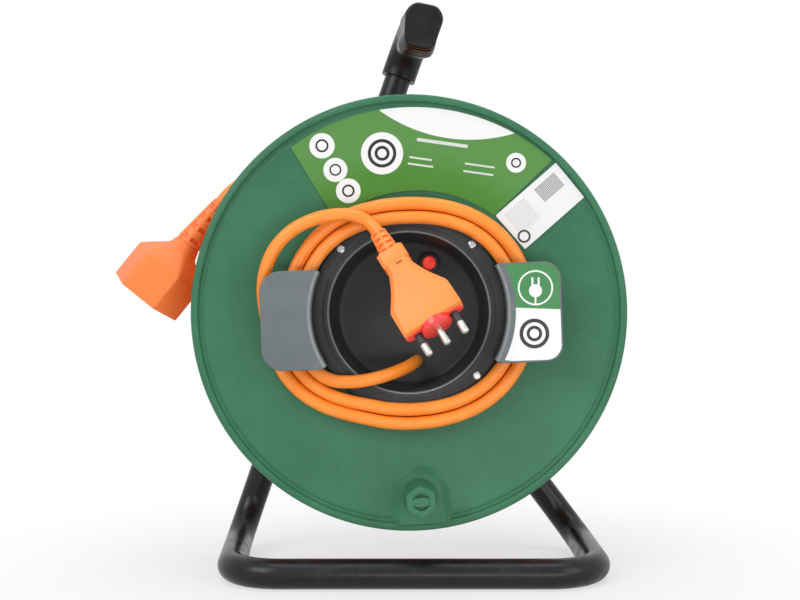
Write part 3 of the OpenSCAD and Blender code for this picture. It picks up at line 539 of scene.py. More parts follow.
rubbery = two_shades("dark_sleeve", 1400, 3, (0.018, 0.018, 0.02), (0.04, 0.04, 0.043), 0.4, 0.2, 0.00003,
                     Coat_Weight=0.1, Coat_Roughness=0.4)
solids = []
for i in (-1, 1):
    profile = [(1.92, PIN_TIP - 8.1), (2.4, PIN_TIP - 8.05), (2.48, PIN_TIP - 8.2), (2.48, MOUTH + 0.85),
               (1.92, MOUTH + 0.85)]
    solids.append(turned(profile, lambda x, y, z: plug_place(x, y + PIN_GAP * i, z), 32))
sleeves = piece("sleeves", *together(solids), rubbery, "drum", "black_plastic", sharp=35)
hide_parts("pin_sleeves")

on_drum(*HOLE)

# ---- Winding ----
# Fifty metres of the same cable wound on the barrel in even layers. Nine turns of the outer layer
# show between the flanges, with the layer below in the grooves between them.

TURN_RADIUS, TURNS = 127.7, 9
WIND_FROM, WIND_TO = -5.5, -102.5
pitch = (WIND_FROM - WIND_TO - 2 - CABLE) / TURNS
first = WIND_FROM - 1 - CABLE / 2
wound = []
for k in range(TURNS * 72 + 1):
    a = 2 * math.pi * k / 72
    wobble = 0.15 * math.sin(5.3 * a) + 0.1 * math.sin(1.7 * a + 1)
    wound.append(on_drum(TURN_RADIUS * math.cos(a), TURN_RADIUS * math.sin(a),
                         first - pitch * k / 72 + wobble))
vertices, faces, uvs = tube(wound, CABLE / 1000, 16)
winding = piece("winding_outer_layer", vertices, faces, sheath, "drum", "cable_orange", uvs)
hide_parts("winding_layer")

under = [(70.5, WIND_FROM - 0.3), (TURN_RADIUS - 9, WIND_FROM - 0.3)]
for k in range(TURNS * 12 + 1):
    z = first - pitch * k / 12
    offset = (k / 12) % 1 - 0.5
    under.append((TURN_RADIUS - 8.6 + math.sqrt(max(0.2, CABLE**2 / 4 - (offset * pitch) ** 2)), z))
under += [(TURN_RADIUS - 9, WIND_TO + 0.3), (70.5, WIND_TO + 0.3)]
vertices, faces = skin([[on_drum(r * math.cos(a), r * math.sin(a), z) for r, z in under]
                        for a in (2 * math.pi * s / 144 for s in range(145))], caps=False)
lower = piece("winding_lower_layer", vertices, faces, sheath, "drum", "cable_orange", sharp=60)
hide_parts("winding_core")

# ---- Trailing socket ----
# The other end of the cable comes off the top of the winding and hangs at the left with a moulded
# coupler: a slotted relief, a neck and a rounded six-sided head. A dark insert in its mouth has
# three holes with brass tubes behind them.

mouth_angle = math.radians(231)
SOCKET_ALONG = Vector((math.cos(mouth_angle), math.sin(mouth_angle), 0))
SOCKET_SIDE = Vector((-math.sin(mouth_angle), math.cos(mouth_angle), 0))
SOCKET_AT = Vector((-183, 10.9, -37)) - SOCKET_ALONG * 84
over = TURN_RADIUS + CABLE + 0.3
lead_points = [(over * math.cos(math.radians(a)), over * math.sin(math.radians(a)), -37)
               for a in range(-20, 111, 10)]
lead_points += [(-69, 119.5, -37), (-88, 109.5, -37), (-106, 97.5, -37),
                tuple(SOCKET_AT - SOCKET_ALONG * CABLE), tuple(SOCKET_AT + SOCKET_ALONG * 4)]
lead_path = curve_through([at_axis(*p) for p in lead_points], 0.0025)
vertices, faces, uvs = tube(lead_path, CABLE / 1000, 24)
lead = piece("trailing_cable", vertices, faces, sheath, "frame", "cable_orange", uvs)
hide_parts("trailing_lead")
lead_length = sum((b - a).length for a, b in zip(lead_path, lead_path[1:]))


def socket_place(back, across, along):
    """A point of the socket, measured from the end of its relief, in metres."""
    return at_axis(*(SOCKET_AT + Vector((0, 0, -back)) + SOCKET_SIDE * across + SOCKET_ALONG * along))


def hexagon(corner, softness):
    """Outline of a hexagon with two corners on the second axis, rounded."""
    corners = [(corner * math.cos(a), corner * math.sin(a))
               for a in (math.pi / 6 + math.pi / 3 * i for i in range(6))]
    return rounded(corners, [softness] * 6, 6)


coupler = orange_pvc("coupler_moulding", 55, 300, 0.6, 0.4,
                     (1.0, 0.195, 0.035), (1.0, 0.235, 0.055), (1.0, 0.36, 0.13))
rings = slotted_relief(socket_place, 36, 5.4, 9)
sleeve = piece("socket_relief", *skin(rings), coupler, "frame", "socket_orange", sharp=40)
forms = [(34, 8.2, 7), (36, 9.6, 8), (38, 10.6, 8), (42.6, 12, 7.5), (43.6, 12.6, 7), (46, 15.3, 5.5),
         (52, 22, 3.6), (55.6, 26, 3), (56.9, 26.9, 2.6), (58.5, 27, 2.4), (82.9, 27, 2.4), (83.7, 26.8, 2.3),
         (84, 26.3, 2.2), (84, 24.6, 2), (83.7, 24.2, 2), (82.6, 24.1, 2), (82.4, 20, 2)]
rings = []
for z, corner, soft in forms:
    rings.append([socket_place(p.x, p.y, z) for p in hexagon(corner, soft)])
vertices, faces = skin(rings)
faces.pop()
head = piece("socket_head", vertices, faces, coupler, "frame", "socket_orange", sharp=28)
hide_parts("socket_body")

insert = two_shades("socket_insert", 1100, 3, (0.02, 0.02, 0.022), (0.045, 0.045, 0.05), 0.45, 0.2, 0.00004,
                    Coat_Weight=0.08, Coat_Roughness=0.4)
brass = two_shades("brass_tube", 400, 4, (0.5, 0.31, 0.1), (0.78, 0.56, 0.24), 0.25, 0.25, 0.00003,
                   Metallic=1.0)


def dress(node, finish):
    """Gives a solid that is shown as it is one finish in all its slots."""
    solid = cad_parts[node]
    for i in range(max(1, len(solid.material_slots))):
        if not solid.material_slots:
            solid.data.materials.append(finish.material)
        solid.material_slots[i].link = "OBJECT"
        solid.material_slots[i].material = finish.material
    return solid


face = dress("socket_face", insert)
contacts = dress("socket_contacts", brass)
at_axis(*lead_points[0])

# ---- Stand ----
# One length of 20 mm steel tube in black powder coat. It bends from the handle over the drum, down
# the left post, round the base and up the right strut, and its other end is the drum's axle.

TUBE = 20
stand_corners = [(9, 193, -14), (3, 215, -132), (-130.5, -173, -132), (-119.1, -173, 0),
                 (127.9, -173, 0), (130.5, -173, -132), (0, 0, -132), (0, 0, -50)]
stand_bends = [0, 28, 35, 35, 35, 35, 30, 0]


def bent_line(corners, bends, step):
    """Points along straight runs joined by round bends, with a point at each step of degrees."""
    line = [Vector(corners[0])]
    for before, at, after, radius in zip(corners, corners[1:], corners[2:], bends[1:]):
        before, at, after = Vector(before), Vector(at), Vector(after)
        a, b = (at - before).normalized(), (after - at).normalized()
        turn = a.angle(b)
        inward = (b - a * a.dot(b)).normalized()
        centre = at - a * radius * math.tan(turn / 2) + inward * radius
        count = max(2, round(math.degrees(turn) / step))
        for k in range(count + 1):
            t = turn * k / count
            line.append(centre + (a * math.sin(t) - inward * math.cos(t)) * radius)
    return line + [Vector(corners[-1])]


powder = Finish("black_powder_coat", Coat_Weight=0.04, Coat_Roughness=0.12, Specular_IOR_Level=0.25)
peel = powder.noise(420, 3)
dust = powder.noise(70, 5).smooth(0.45, 0.75)
chafe = powder.noise(260, 6, roughness=0.7).smooth(0.62, 0.72)
powder.surface(
    Base_Color=powder.mix(chafe * 0.35, powder.mix(dust, (0.007, 0.008, 0.009), (0.014, 0.015, 0.016)),
                          (0.07, 0.07, 0.07)),
    Roughness=0.24 + 0.1 * peel + 0.14 * dust + 0.1 * chafe,
    Normal=powder.bump(peel * 0.00012 + dust * 0.00004),
)
stand_line = [at_axis(*p) for p in bent_line(stand_corners, stand_bends, 3)]
outer, faces = skin([[c + (s * math.cos(a) + o * math.sin(a)) * TUBE / 2000
                      for a in (2 * math.pi * k / 48 for k in range(48))]
                     for c, (_, s, o) in zip(stand_line, carried_frames(stand_line))])
stand = piece("stand_tube", outer, faces, powder, "frame", "tube_black", sharp=50)
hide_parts("frame_tube")

# ---- Handle grip ----
# A black moulding pushed over the handle end: a round sleeve down to the post and a deeper grip
# of rounded trapezoid section in front of it, with four finger ribs under its nose. The underside
# drops a little towards the post.

GRIP_TOP, GRIP_LOW, GRIP_TALL, GRIP_LEAN = 28.5, 20, 30, 11
GRIP_SLEEVE, GRIP_DROP = 13.2, 3.6
RIB_PITCH, RIBS_BACK, RIB_PROUD = 7.75, 4.5, 1.15
RIB_RUN = 4 * RIB_PITCH
post_along = (Vector(stand_corners[1]) - Vector(stand_corners[2])).normalized()
nose_along = (Vector(stand_corners[0]) - Vector(stand_corners[1])).normalized()
foot = Vector(stand_corners[1]) - post_along * (28 * math.tan(post_along.angle(nose_along) / 2) + 2.5)
nose = Vector(stand_corners[0]) + nose_along * 4
sleeve_line = bent_line([foot, stand_corners[1], nose], [0, 28, 0], 5)
bend_end = sleeve_line[-2]
reach = (nose - bend_end).length
stations = [(p, 0, 1, 0) for p in sleeve_line[:-1]]
nose_steps = [0.5, 1.5, 3, 5, 7, 9, 11, 13, 16, 20, 26, 32, 38, 42]
ribs_from = reach - 38
nose_steps += [ribs_from + 0.75 * k for k in range(int(36 / 0.75))]
for z in nose_steps:
    stations.append((bend_end + nose_along * z, min(1, z / 14), 1, z))
for back, scale in ((2.2, 1), (1.5, 0.992), (0.9, 0.972), (0.4, 0.94), (0.1, 0.89), (0, 0.84), (-0.3, 0.5)):
    stations.append((bend_end + nose_along * (reach - back), 1, scale, reach - back))
section = rounded([(-GRIP_LOW / 2, -GRIP_TALL / 2), (GRIP_LOW / 2, -GRIP_TALL / 2),
                   (GRIP_TOP / 2, GRIP_TALL / 2 - 1.5), (-GRIP_TOP / 2, GRIP_TALL / 2 - 1.5)],
                  [6, 6, 8, 8], 8)
crown = [Vector((p.x, p.y + max(0, p.y - 6) / 8 * 1.5 * (1 - (p.x / 14) ** 2))) for p in section]


def reach_at(outline, angle):
    """Distance from the middle to an outline along a direction."""
    ray = Vector((math.cos(angle), math.sin(angle)))
    best = 0
    for a, b in zip(outline, [*outline[1:], outline[0]]):
        edge = b - a
        cross = ray.x * edge.y - ray.y * edge.x
        if abs(cross) < 1e-9:
            continue
        t = (a.x * edge.y - a.y * edge.x) / cross
        u = (a.x * ray.y - a.y * ray.x) / cross
        if -1e-6 <= u <= 1 + 1e-6 and t > best:
            best = t
    return best


rings = []
lean = math.radians(GRIP_LEAN)
middle_line = [s[0] for s in stations]
for i, (centre, share, scale, run) in enumerate(stations):
    ahead = (middle_line[min(i + 1, len(stations) - 1)] - middle_line[max(i - 1, 0)]).normalized()
    right = Vector((1, 0, 0)) - ahead * ahead.x
    right.normalize()
    lift = right.cross(-ahead).normalized()
    u = right * math.cos(lean) - lift * math.sin(lean)
    v = lift * math.cos(lean) + right * math.sin(lean)
    share = share * share * (3 - 2 * share)
    ring = []
    for k in range(72):
        a = 2 * math.pi * k / 72
        radius = (GRIP_SLEEVE * (1 - share) + reach_at(crown, a) * share) * scale
        past = reach - run - RIBS_BACK
        below = min(1, max(0, -math.sin(a) * 2.2 - 0.9))
        radius += GRIP_DROP * share * min(1, max(0, past) / RIB_RUN) * below
        if share == 1 and 0 < past < RIB_RUN:
            wave = 0.5 - 0.5 * math.cos(2 * math.pi * past / RIB_PITCH)
            radius += RIB_PROUD * min(1, 1.6 * wave) * below
        ring.append(at_axis(*(centre + u * radius * math.cos(a) + v * radius * math.sin(a))))
    rings.append(ring)
first_ring = rings[0]
inner_ring = [foot_point + (at_axis(*foot) - foot_point) * 0.23 for foot_point in first_ring]
deeper = [p + (at_axis(*(foot + post_along * 3)) - at_axis(*foot)) for p in inner_ring]
rings = [deeper, inner_ring] + rings
grip_black = Finish("grip_moulding", Coat_Weight=0.04, Coat_Roughness=0.2, Specular_IOR_Level=0.2)
leather = grip_black.noise(900, 4)
touch = grip_black.noise(90, 4).smooth(0.35, 0.7)
grip_black.surface(
    Base_Color=grip_black.mix(touch, (0.005, 0.005, 0.006), (0.01, 0.01, 0.011)),
    Roughness=0.27 + 0.12 * leather + 0.1 * touch,
    Normal=grip_black.bump(leather * 0.00006),
)
grip = piece("handle_grip", *skin(rings), grip_black, "frame", "grip_black", sharp=42)
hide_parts("grip")

# ---- Axle fittings ----
# A black cap pressed into the axle's end and a steel washer keep the drum on. A plastic spacer
# takes the thrust at the bend. All three are hidden in the hub and dressed as they are.

dress("axle_cap", insert)
dress("axle_spacer", insert)
zinc = two_shades("zinc_plate", 260, 4, (0.42, 0.43, 0.45), (0.66, 0.67, 0.68), 0.24, 0.2, 0.00003,
                  Metallic=1.0)
dress("axle_washer", zinc)

# ---- Drum ----
# Injection-moulded green polypropylene: two flanges with a rolled rim and a thin raised ring inside
# it, on a plain barrel. An arched plateau at the foot of the front one carries the winding knob.

KNOB_ORBIT, KNOB_ANGLE = 121, math.radians(271.6)
green = Finish("green_moulding", Coat_Roughness=0.25, Specular_IOR_Level=0.2)
swirl = green.noise(16, 3)
haze = green.noise(75, 5).smooth(0.45, 0.8)
satin = green.noise(1900, 2)
scrape = green.noise(12, 6, green.stretch((6, 6, 0.5)), 0.7).smooth(0.64, 0.72)
deep = green.mix(swirl.smooth(0.3, 0.7), (0.034, 0.142, 0.072), (0.044, 0.168, 0.088))
green.surface(
    Base_Color=green.mix(haze * 0.4, deep, (0.06, 0.205, 0.112)),
    Roughness=0.36 + 0.12 * haze + 0.05 * satin + 0.08 * scrape,
    Normal=green.bump(satin * 0.00002 + swirl * 0.0004 + scrape * 0.00002),
)


rim_profile = [
    (55.7, -5.5), (55.6, -3.3), (55.9, -3), (134.4, -3), (135, -2.9), (135.4, -2.55), (136, -2.4),
    (136.7, -2.5), (137.1, -2.85), (137.6, -3), (139, -3), (139.5, -2.8), (139.7, -2.2), (139.75, -1.3),
    (140.1, -0.6), (140.8, -0.15), (141.6, 0), (142.4, -0.1), (142.8, -0.3), (143.2, -0.25),
    (143.9, -0.5), (144.5, -1.1), (144.9, -2), (145, -3.1), (145, -5.6), (144.8, -6.4), (144.2, -6.9),
    (143.4, -7), (140.7, -7), (140, -6.8), (139.7, -6.2), (139.5, -5.5),
]
rim = turned([*rim_profile, rim_profile[0]], on_drum, 240, caps=False)
front = piece("front_plate", *rim, green, "drum", "drum_green", sharp=40)


def knob_place(u, v, z):
    """A point near the winding knob: u away from the axle and v to the side, in metres."""
    c, s = math.cos(KNOB_ANGLE), math.sin(KNOB_ANGLE)
    return on_drum((KNOB_ORBIT + u) * c - v * s, (KNOB_ORBIT + u) * s + v * c, z)


rings = []
for radius, z in ((19.6, -3.2), (19.2, -2.95), (18.5, -2.6), (14.7, 1.1), (14.1, 1.65), (13.5, 1.9),
                  (12.9, 2)):
    ring = [knob_place(19, -radius - 1.7, z)]
    ring += [knob_place(-radius * math.sin(math.pi * k / 24), -radius * math.cos(math.pi * k / 24), z)
             for k in range(25)]
    ring.append(knob_place(19, radius + 1.7, z))
    rings.append(ring)
piece("knob_plateau", *skin(rings), green, "drum", "drum_green", sharp=40)
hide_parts("front_flange")

for node in ("drum_core", "rear_flange", "knob_post"):
    dress(node, green)
dress("rear_screws", zinc)

# ---- Labels ----
# Printed foil on the front flange: a bright green panel with white fields and discs, and a small
# white one beside it. The print is plain rings and bars.


def drum_plane(finish):
    """Millimetres right of and above the axle, for a finish on a piece of the drum at rest."""
    x, _, z = finish.axes()
    return x * 1000, (z - AXLE_HEIGHT) * 1000


def disc(x, y, cx, cy, radius, edge=0.15):
    across, up = x - cx, y - cy
    return 1 - ((across * across + up * up) ** 0.5).smooth(radius - edge, radius + edge)


def hoop(x, y, cx, cy, radius, width):
    return disc(x, y, cx, cy, radius) - disc(x, y, cx, cy, radius - width)


def bar(x, y, cx, cy, length, height, lean=0):
    c, s = math.cos(math.radians(lean)), math.sin(math.radians(lean))
    run, rise = (x - cx) * c + (y - cy) * s, (y - cy) * c - (x - cx) * s
    return (1 - abs(run).smooth(length / 2 - 0.1, length / 2 + 0.1)) * (
        1 - abs(rise).smooth(height / 2 - 0.1, height / 2 + 0.1))


def arc(cx, cy, radius, start, sweep):
    """Points of an arc from a start angle, turning by the sweep, both in degrees."""
    angles = [math.radians(start + sweep * k / 60) for k in range(61)]
    return [(cx + radius * math.cos(a), cy + radius * math.sin(a)) for a in angles]


def foil(name, outline, level, finish):
    """A thin printed sheet on the drum, from its outline in the plane of the drum."""
    rings = [[at_axis(x, y, level + lift) for x, y in outline] for lift in (-0.05, 0.12)]
    piece(name, *skin(rings), finish, "drum", "drum_green", sharp=30)


print_green = Finish("printed_panel", Coat_Weight=0.12, Coat_Roughness=0.2, Specular_IOR_Level=0.25)
x, y = drum_plane(print_green)
reach = (x * x + y * y) ** 0.5
fade = reach.smooth(90, 112)
ripple = print_green.noise(70, 4)
ground = print_green.mix(fade + 0.25 * (ripple - 0.5), (0.06, 0.205, 0.022), (0.088, 0.24, 0.056))
white_parts = 1 - ((x - 40.7) * (x - 40.7) + (y - 217.7) * (y - 217.7)).smooth(103**2 - 40, 103**2 + 40)
for cx, cy, radius in ((-57.8, 110.7, 8.4), (-48.9, 94.7, 8), (-40.3, 80.8, 8.2), (-17.9, 105.7, 14),
                       (71.1, 99.4, 6.6)):
    white_parts = white_parts.most(disc(x, y, cx, cy, radius))
for cx, cy, length, height in ((22.1, 112.6, 34, 2.2), (7.7, 102.2, 15, 1.2), (7.7, 97.8, 17, 1.2),
                               (47, 97.6, 20, 1.2), (46, 92.6, 20, 1.2)):
    white_parts = white_parts.most(0.75 * bar(x, y, cx, cy, length, height, -8))
dark_parts = hoop(x, y, -17.9, 105.7, 9.5, 2.2)
for cx, cy, radius, width in ((-17.9, 105.7, 5, 2), (-57.8, 110.7, 4.4, 1.3), (-48.9, 94.7, 4, 1.1),
                              (-40.3, 80.8, 4.2, 1.3), (71.1, 99.4, 3.4, 1.1)):
    dark_parts = dark_parts.most(hoop(x, y, cx, cy, radius, width))
print_green.surface(
    Base_Color=print_green.mix(dark_parts, print_green.mix(white_parts, ground, (0.78, 0.79, 0.78)),
                               (0.02, 0.02, 0.022)),
    Roughness=0.3 + 0.15 * ripple,
    Normal=print_green.bump(ripple * 0.00005 + print_green.noise(600) * 0.00002),
)
panel = arc(3, -1.75, 138.15, 126.2, -78) + arc(5.6, -5, 86, 53.8, 75.6)
foil("green_label", panel, -2.4, print_green)

PAPER_X, PAPER_Y, PAPER_LEAN = 87.7, 71.1, 41.2
paper = Finish("white_label", Coat_Weight=0.08, Coat_Roughness=0.3)
x, y = drum_plane(paper)
fibres = paper.noise(800, 3)
lean = math.radians(PAPER_LEAN)
run = (x - PAPER_X) * math.cos(lean) + (y - PAPER_Y) * math.sin(lean)
rise = (y - PAPER_Y) * math.cos(lean) - (x - PAPER_X) * math.sin(lean)
bars = abs((run * 2.9).sine()).smooth(0.35, 0.6) * (1 - abs(run - 12).smooth(8.6, 9)) * (
    1 - abs(rise - 5.5).smooth(5.4, 5.8))
lines = abs((rise * 1.9).sine()).smooth(0.75, 0.95) * (1 - abs(run + 14).smooth(8.6, 9)) * (
    1 - abs(rise - 3).smooth(8.5, 9))
rings_on_it = hoop(x, y, 76.4, 50.6, 4.4, 1.4)
paper.surface(
    Base_Color=paper.mix(rings_on_it.most(bars * 0.7, lines * 0.35), (0.74, 0.75, 0.75), (0.03, 0.03, 0.03)),
    Roughness=0.42 + 0.15 * fibres,
    Normal=paper.bump(fibres * 0.00003),
)
corners = [(sx * 27.2, sy * 14.9) for sx, sy in ((1, 1), (-1, 1), (-1, -1), (1, -1))]
plain = []
for p in rounded(corners, [0.8] * 4, 12):
    at = Vector((PAPER_X + p.x * math.cos(lean) - p.y * math.sin(lean),
                 PAPER_Y + p.x * math.sin(lean) + p.y * math.cos(lean)))
    plain.append(at * min(1, 139.2 / at.length))
foil("plain_label", plain, -2.3, paper)

# ---- Storage cup ----
# Grained dark grey moulding set in the drum: a deep cup for the plug, a flat ring round its mouth and
# two ears that hold the cable's coil. It is held by four cross-head screws. Its floor is drawn
# without holes: the cable and the reset button run on through it, under a lip and a nut.

grey = Finish("grained_grey", Coat_Roughness=0.35, Specular_IOR_Level=0.28)
spark = grey.noise(1300, 4)
bloom = grey.noise(28, 4).smooth(0.3, 0.75)
wipes_and_highlight_mottle = grey.noise(150, 6, roughness=0.7).smooth(0.55, 0.78)
x, y = drum_plane(grey)
forward = (FRONT_RIM - grey.axes()[1]) * 1000
reach = (x * x + y * y) ** 0.5
# The ears' outer faces are painted a paler grey than the rest, as they stand out into the light: painted
# light.
ear_face_painted_light = forward.smooth(16, 21.5)
# A thin pale ring on the cup's lip and on the ears' inner fillet: painted highlight, its strength varied by
# the same noise as the wipe marks.
edge = (1 - abs(reach - 53.4).smooth(0.3, 0.9)) * (1 - abs(forward).smooth(0.9, 1.6))
edge = edge.most(ear_face_painted_light * (1 - abs(reach - 64.6).smooth(0.3, 1.3)))
dark = grey.mix(wipes_and_highlight_mottle * 0.3, grey.mix(bloom, (0.024, 0.0255, 0.027), (0.036, 0.038, 0.04)),
                (0.09, 0.095, 0.1))
painted_lit_grey = grey.mix(bloom, (0.12, 0.14, 0.147), (0.145, 0.167, 0.173))
grey.surface(
    Base_Color=grey.mix(edge * (0.45 + 0.3 * wipes_and_highlight_mottle), grey.mix(ear_face_painted_light, dark, painted_lit_grey), (0.42, 0.43, 0.44)),
    Roughness=0.42 + 0.12 * spark + 0.08 * wipes_and_highlight_mottle,
    Normal=grey.bump(spark * 0.00004 + bloom * 0.0001),
)
cup_profile = [
    (0.02, -42), (44, -42), (46.8, -41.9), (48.4, -41.3), (49.3, -40.2), (49.75, -38.5), (52.7, -4.2),
    (52.9, -1.4), (53, -0.5), (53.25, 0.3), (53.8, 0.8), (54.6, 1), (57.4, 1), (57.7, 0.9), (58, 1),
    (64.4, 1), (65.1, 0.85), (65.55, 0.4), (65.7, -0.2), (65.7, -3), (63.2, -3), (63.2, -1.5),
    (55.5, -1.5), (55.5, -5.5), (49.6, -44.4), (0.02, -44.5),
]
cup = piece("cup", *turned(cup_profile, on_drum, 180), grey, "drum", "cup_grey", sharp=38)

EAR_TOP, EAR_LOW, EAR_FACE = 29.65, -34.85, 23
RIGHT_EAR, LEFT_EAR = (98.5, 11), (95.8, 14)


def ear_outline(inset, shape):
    """Outline of an ear's plate from its upper root round the end to its lower one, evenly stepped.

    The shape is the ear's reach from the axle and its corner radius.
    """
    top, low, end, radius = EAR_TOP - inset, EAR_LOW + inset, shape[0] - inset, shape[1] - inset
    line = [Vector((58.6 + (end - radius - 58.6) * k / 14, top)) for k in range(14)]
    line += [Vector((end - radius + radius * math.sin(a), top - radius + radius * math.cos(a)))
             for a in (math.pi / 2 * k / 10 for k in range(11))]
    line += [Vector((end, top - radius + (low + radius - top + radius) * k / 12)) for k in range(1, 12)]
    line += [Vector((end - radius + radius * math.cos(a), low + radius - radius * math.sin(a)))
             for a in (math.pi / 2 * k / 10 for k in range(11))]
    line += [Vector((end - radius + (56.2 - end + radius) * k / 14, low)) for k in range(1, 15)]
    return line


for mirrored in (1, -1):
    shape = RIGHT_EAR if mirrored > 0 else LEFT_EAR
    outer = [ear_outline(inset, shape) for inset in (0.9, 0.3, 0, 0, 0.5)]
    count = len(outer[0])
    sections = []
    for i in range(count):
        share = i / (count - 1)
        angle = math.radians(26.5 - share * (26.5 + 30.9))
        c, s = math.cos(angle), math.sin(angle)
        section = [(EAR_INNER * c, EAR_INNER * s, z) for z in (-0.2, 1, 10, 19.2)]
        section += [((EAR_INNER + r) * c, (EAR_INNER + r) * s, z)
                    for r, z in ((0.2, 20.6), (0.8, 21.8), (1.7, 22.6), (2.8, 22.95), (3.8, 23))]
        section += [(line[i].x, line[i].y, z) for line, z in zip(outer, (23, 22.8, 22.3, 20.9, 20.2))]
        section += [(EAR_OUTER * c, EAR_OUTER * s, z) for z in (20.2, 10, -0.2)]
        sections.append([on_drum(x * mirrored, y, z) for x, y, z in section])
    piece("right_ear" if mirrored > 0 else "left_ear", *skin(sections), grey, "drum", "cup_grey",
          sharp=45)
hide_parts("storage_cup")

vertices, faces = turned([(4.4, -42.3), (6.1, -42.3), (6.1, -41.6), (5.7, -41.2), (4.9, -41.3), (4.4, -42.3)],
                         lambda x, y, z: on_drum(HOLE[0] + x, HOLE[1] + y, z), 40)
piece("cord_hole_lip", vertices, faces, insert, "drum", "cup_grey", sharp=40)

SCREW_ORBIT = 61.5
solids = []
for k in range(4):
    orbit = math.radians(45 + 90 * k)
    cx, cy = SCREW_ORBIT * math.cos(orbit), SCREW_ORBIT * math.sin(orbit)
    rings = []
    for radius, height in ((1.5, -2), (1.5, 0.9), (3, 1), (3, 1.7), (2.85, 2.2), (2.4, 2.6), (1.9, 2.75),
                           (1.5, 2.8), (1.1, 2.8), (0.7, 2.8), (0.35, 2.8), (0.02, 2.8)):
        ring = []
        for i in range(48):
            a = 2 * math.pi * i / 48
            x, y = radius * math.cos(a), radius * math.sin(a)
            u = x * math.cos(k + 0.4) + y * math.sin(k + 0.4)
            v = y * math.cos(k + 0.4) - x * math.sin(k + 0.4)
            sunk = 1.1 if radius < 2 and min(abs(u), abs(v)) < 0.42 else 0
            ring.append(on_drum(cx + x, cy + y, height - sunk))
        rings.append(ring)
    solids.append(skin(rings))
screws = piece("cup_screw_heads", *together(solids), zinc, "drum", "steel", sharp=35)
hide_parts("cup_screws")

# ---- Ear label ----
# A two-colour foil on the right ear: green above with a white hoop round a plug sign, white below
# with a plain coil sign.

ear_print = Finish("ear_print", Coat_Weight=0.12, Coat_Roughness=0.2, Specular_IOR_Level=0.3)
x, y = drum_plane(ear_print)
tone = ear_print.noise(90, 4)
upper = (y + 0.035 * (x - 82)).smooth(2.4, 2.8)
sign = hoop(x, y, 81.2, 15.9, 11.3, 1.1)
for shape in (disc(x, y, 81.2, 14, 4.2), bar(x, y, 79.2, 20, 1.3, 5), bar(x, y, 83.2, 20, 1.3, 5),
              bar(x, y, 81.2, 8, 1.1, 6)):
    sign = sign.most(shape)
coil_sign = hoop(x, y, 80.5, -13.5, 9.6, 2.4)
coil_sign = coil_sign.most(hoop(x, y, 80.5, -13.5, 5, 2))
lower_print = ear_print.mix(coil_sign, (0.78, 0.79, 0.79), (0.025, 0.025, 0.027))
upper_print = ear_print.mix(sign, ear_print.mix(tone, (0.05, 0.21, 0.068), (0.062, 0.24, 0.08)),
                            (0.78, 0.8, 0.79))
ear_print.surface(
    Base_Color=ear_print.mix(upper, lower_print, upper_print),
    Roughness=0.3 + 0.12 * tone,
    Normal=ear_print.bump(tone * 0.00004),
)
outline = [on_drum(p.x, p.y, EAR_FACE) for p in ear_outline(1.3, RIGHT_EAR) if p.x > 64]
outline += [on_drum(68.7 * math.cos(a), 68.7 * math.sin(a), EAR_FACE)
            for a in (math.radians(-28.5 + 52.5 * k / 20) for k in range(21))]
outward = Vector((0, -1, 0))
vertices, faces = skin([[p + outward * lift for p in outline] for lift in (-0.00004, 0.00012)])
piece("ear_label", vertices, faces, ear_print, "drum", "cup_grey", sharp=30)

# ---- Cut-out and clamp ----
# A thermal cut-out behind the cup's floor shows its round red reset button in a black nut. The cable
# is held behind the floor by a screwed bar.

for node in ("cutout_body", "cord_clamp"):
    dress(node, insert)
dress("clamp_screws", zinc)
# The button glows faintly in its own red: painted light that keeps it bright in the cup's shade.
button_red = Finish("button_red", Coat_Weight=0.2, Coat_Roughness=0.06, Emission_Strength=0.35)
depth = button_red.noise(300, 2)
button_red.surface(
    Base_Color=button_red.mix(depth, (0.93, 0.02, 0.008), (1.0, 0.035, 0.014)),
    Roughness=0.2 + 0.08 * depth,
    Emission_Color=button_red.mix(depth, (0.9, 0.025, 0.008), (1.0, 0.045, 0.014)),
    Normal=button_red.bump(depth * 0.00004),
)
BUTTON_X, BUTTON_Y = 15.2, 34


def button_place(x, y, z):
    return on_drum(BUTTON_X + x, BUTTON_Y + y, z)


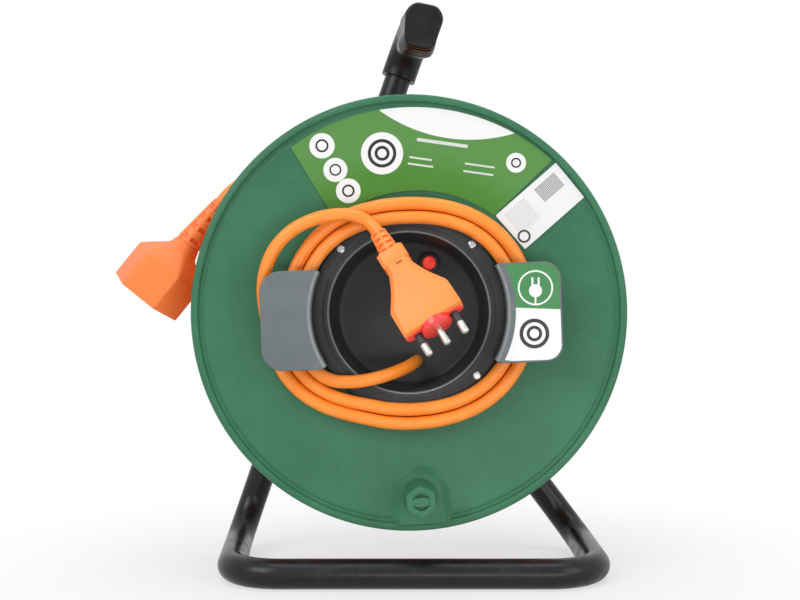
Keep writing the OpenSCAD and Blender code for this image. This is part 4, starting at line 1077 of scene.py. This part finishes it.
vertices, faces = turned([(0.02, -46), (4.55, -46), (4.58, -37.3), (4.5, -36.6), (4.2, -36.2), (3.6, -36.02),
                          (3.1, -36.15), (0.02, -36.25)], button_place, 64)
button = piece("reset_knob", vertices, faces, button_red, "button", "button_red", sharp=50)
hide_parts("reset_button")
vertices, faces = turned([(6.06, -41.9), (8, -41.9), (7.9, -41.2), (7.6, -40.9), (6, -40.75), (5.3, -40.3),
                          (4.9, -40.25), (4.7, -40.5), (4.7, -41.9), (6.06, -41.9)], button_place, 64)
nut = piece("ring_nut", vertices, faces, grey, "drum", "black_plastic", sharp=40)
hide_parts("cutout_nut")

# ---- Winding knob ----
# A tapered six-sided green knob on a post of the drum, with softened edges and a stepped hollow in its face,
# open at the middle, in place of the two curved slots where the post's snap lugs show.

KNOB_FOOT, KNOB_TOP = 2.2, 30.2


def knob_outline(corner, softness):
    return [Vector((p.y, p.x)) for p in reversed(hexagon(corner, softness))]


levels = [(KNOB_FOOT, 12, 11), (KNOB_FOOT + 0.3, 12.4, 11), (KNOB_FOOT + 2.6, 12.45, 10.5),
          (KNOB_FOOT + 3.2, 12.3, 8), (KNOB_FOOT + 6, 12.1, 5), (KNOB_FOOT + 12, 11.75, 3.6),
          (KNOB_FOOT + 20, 11.3, 3), (KNOB_TOP - 2, 10.9, 2.8), (KNOB_TOP - 1, 10.75, 2.8),
          (KNOB_TOP - 0.4, 10.45, 2.8), (KNOB_TOP - 0.08, 9.9, 2.8), (KNOB_TOP, 9.3, 2.8)]
rings = [[knob_place(p.x, p.y, z) for p in knob_outline(corner, softness)] for z, corner, softness in levels]
spokes = [p.normalized() for p in knob_outline(10, 2.8)]
for radius, z in ((6, KNOB_TOP), (5.65, KNOB_TOP - 0.2), (5.6, KNOB_TOP - 3), (3.12, KNOB_TOP - 3),
                  (3.08, KNOB_TOP - 6)):
    rings.append([knob_place(p.x * radius, p.y * radius, z) for p in spokes])
knob = piece("knob", *skin(rings, caps=False), green, "knob", "drum_green", sharp=42)
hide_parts("winding_knob")
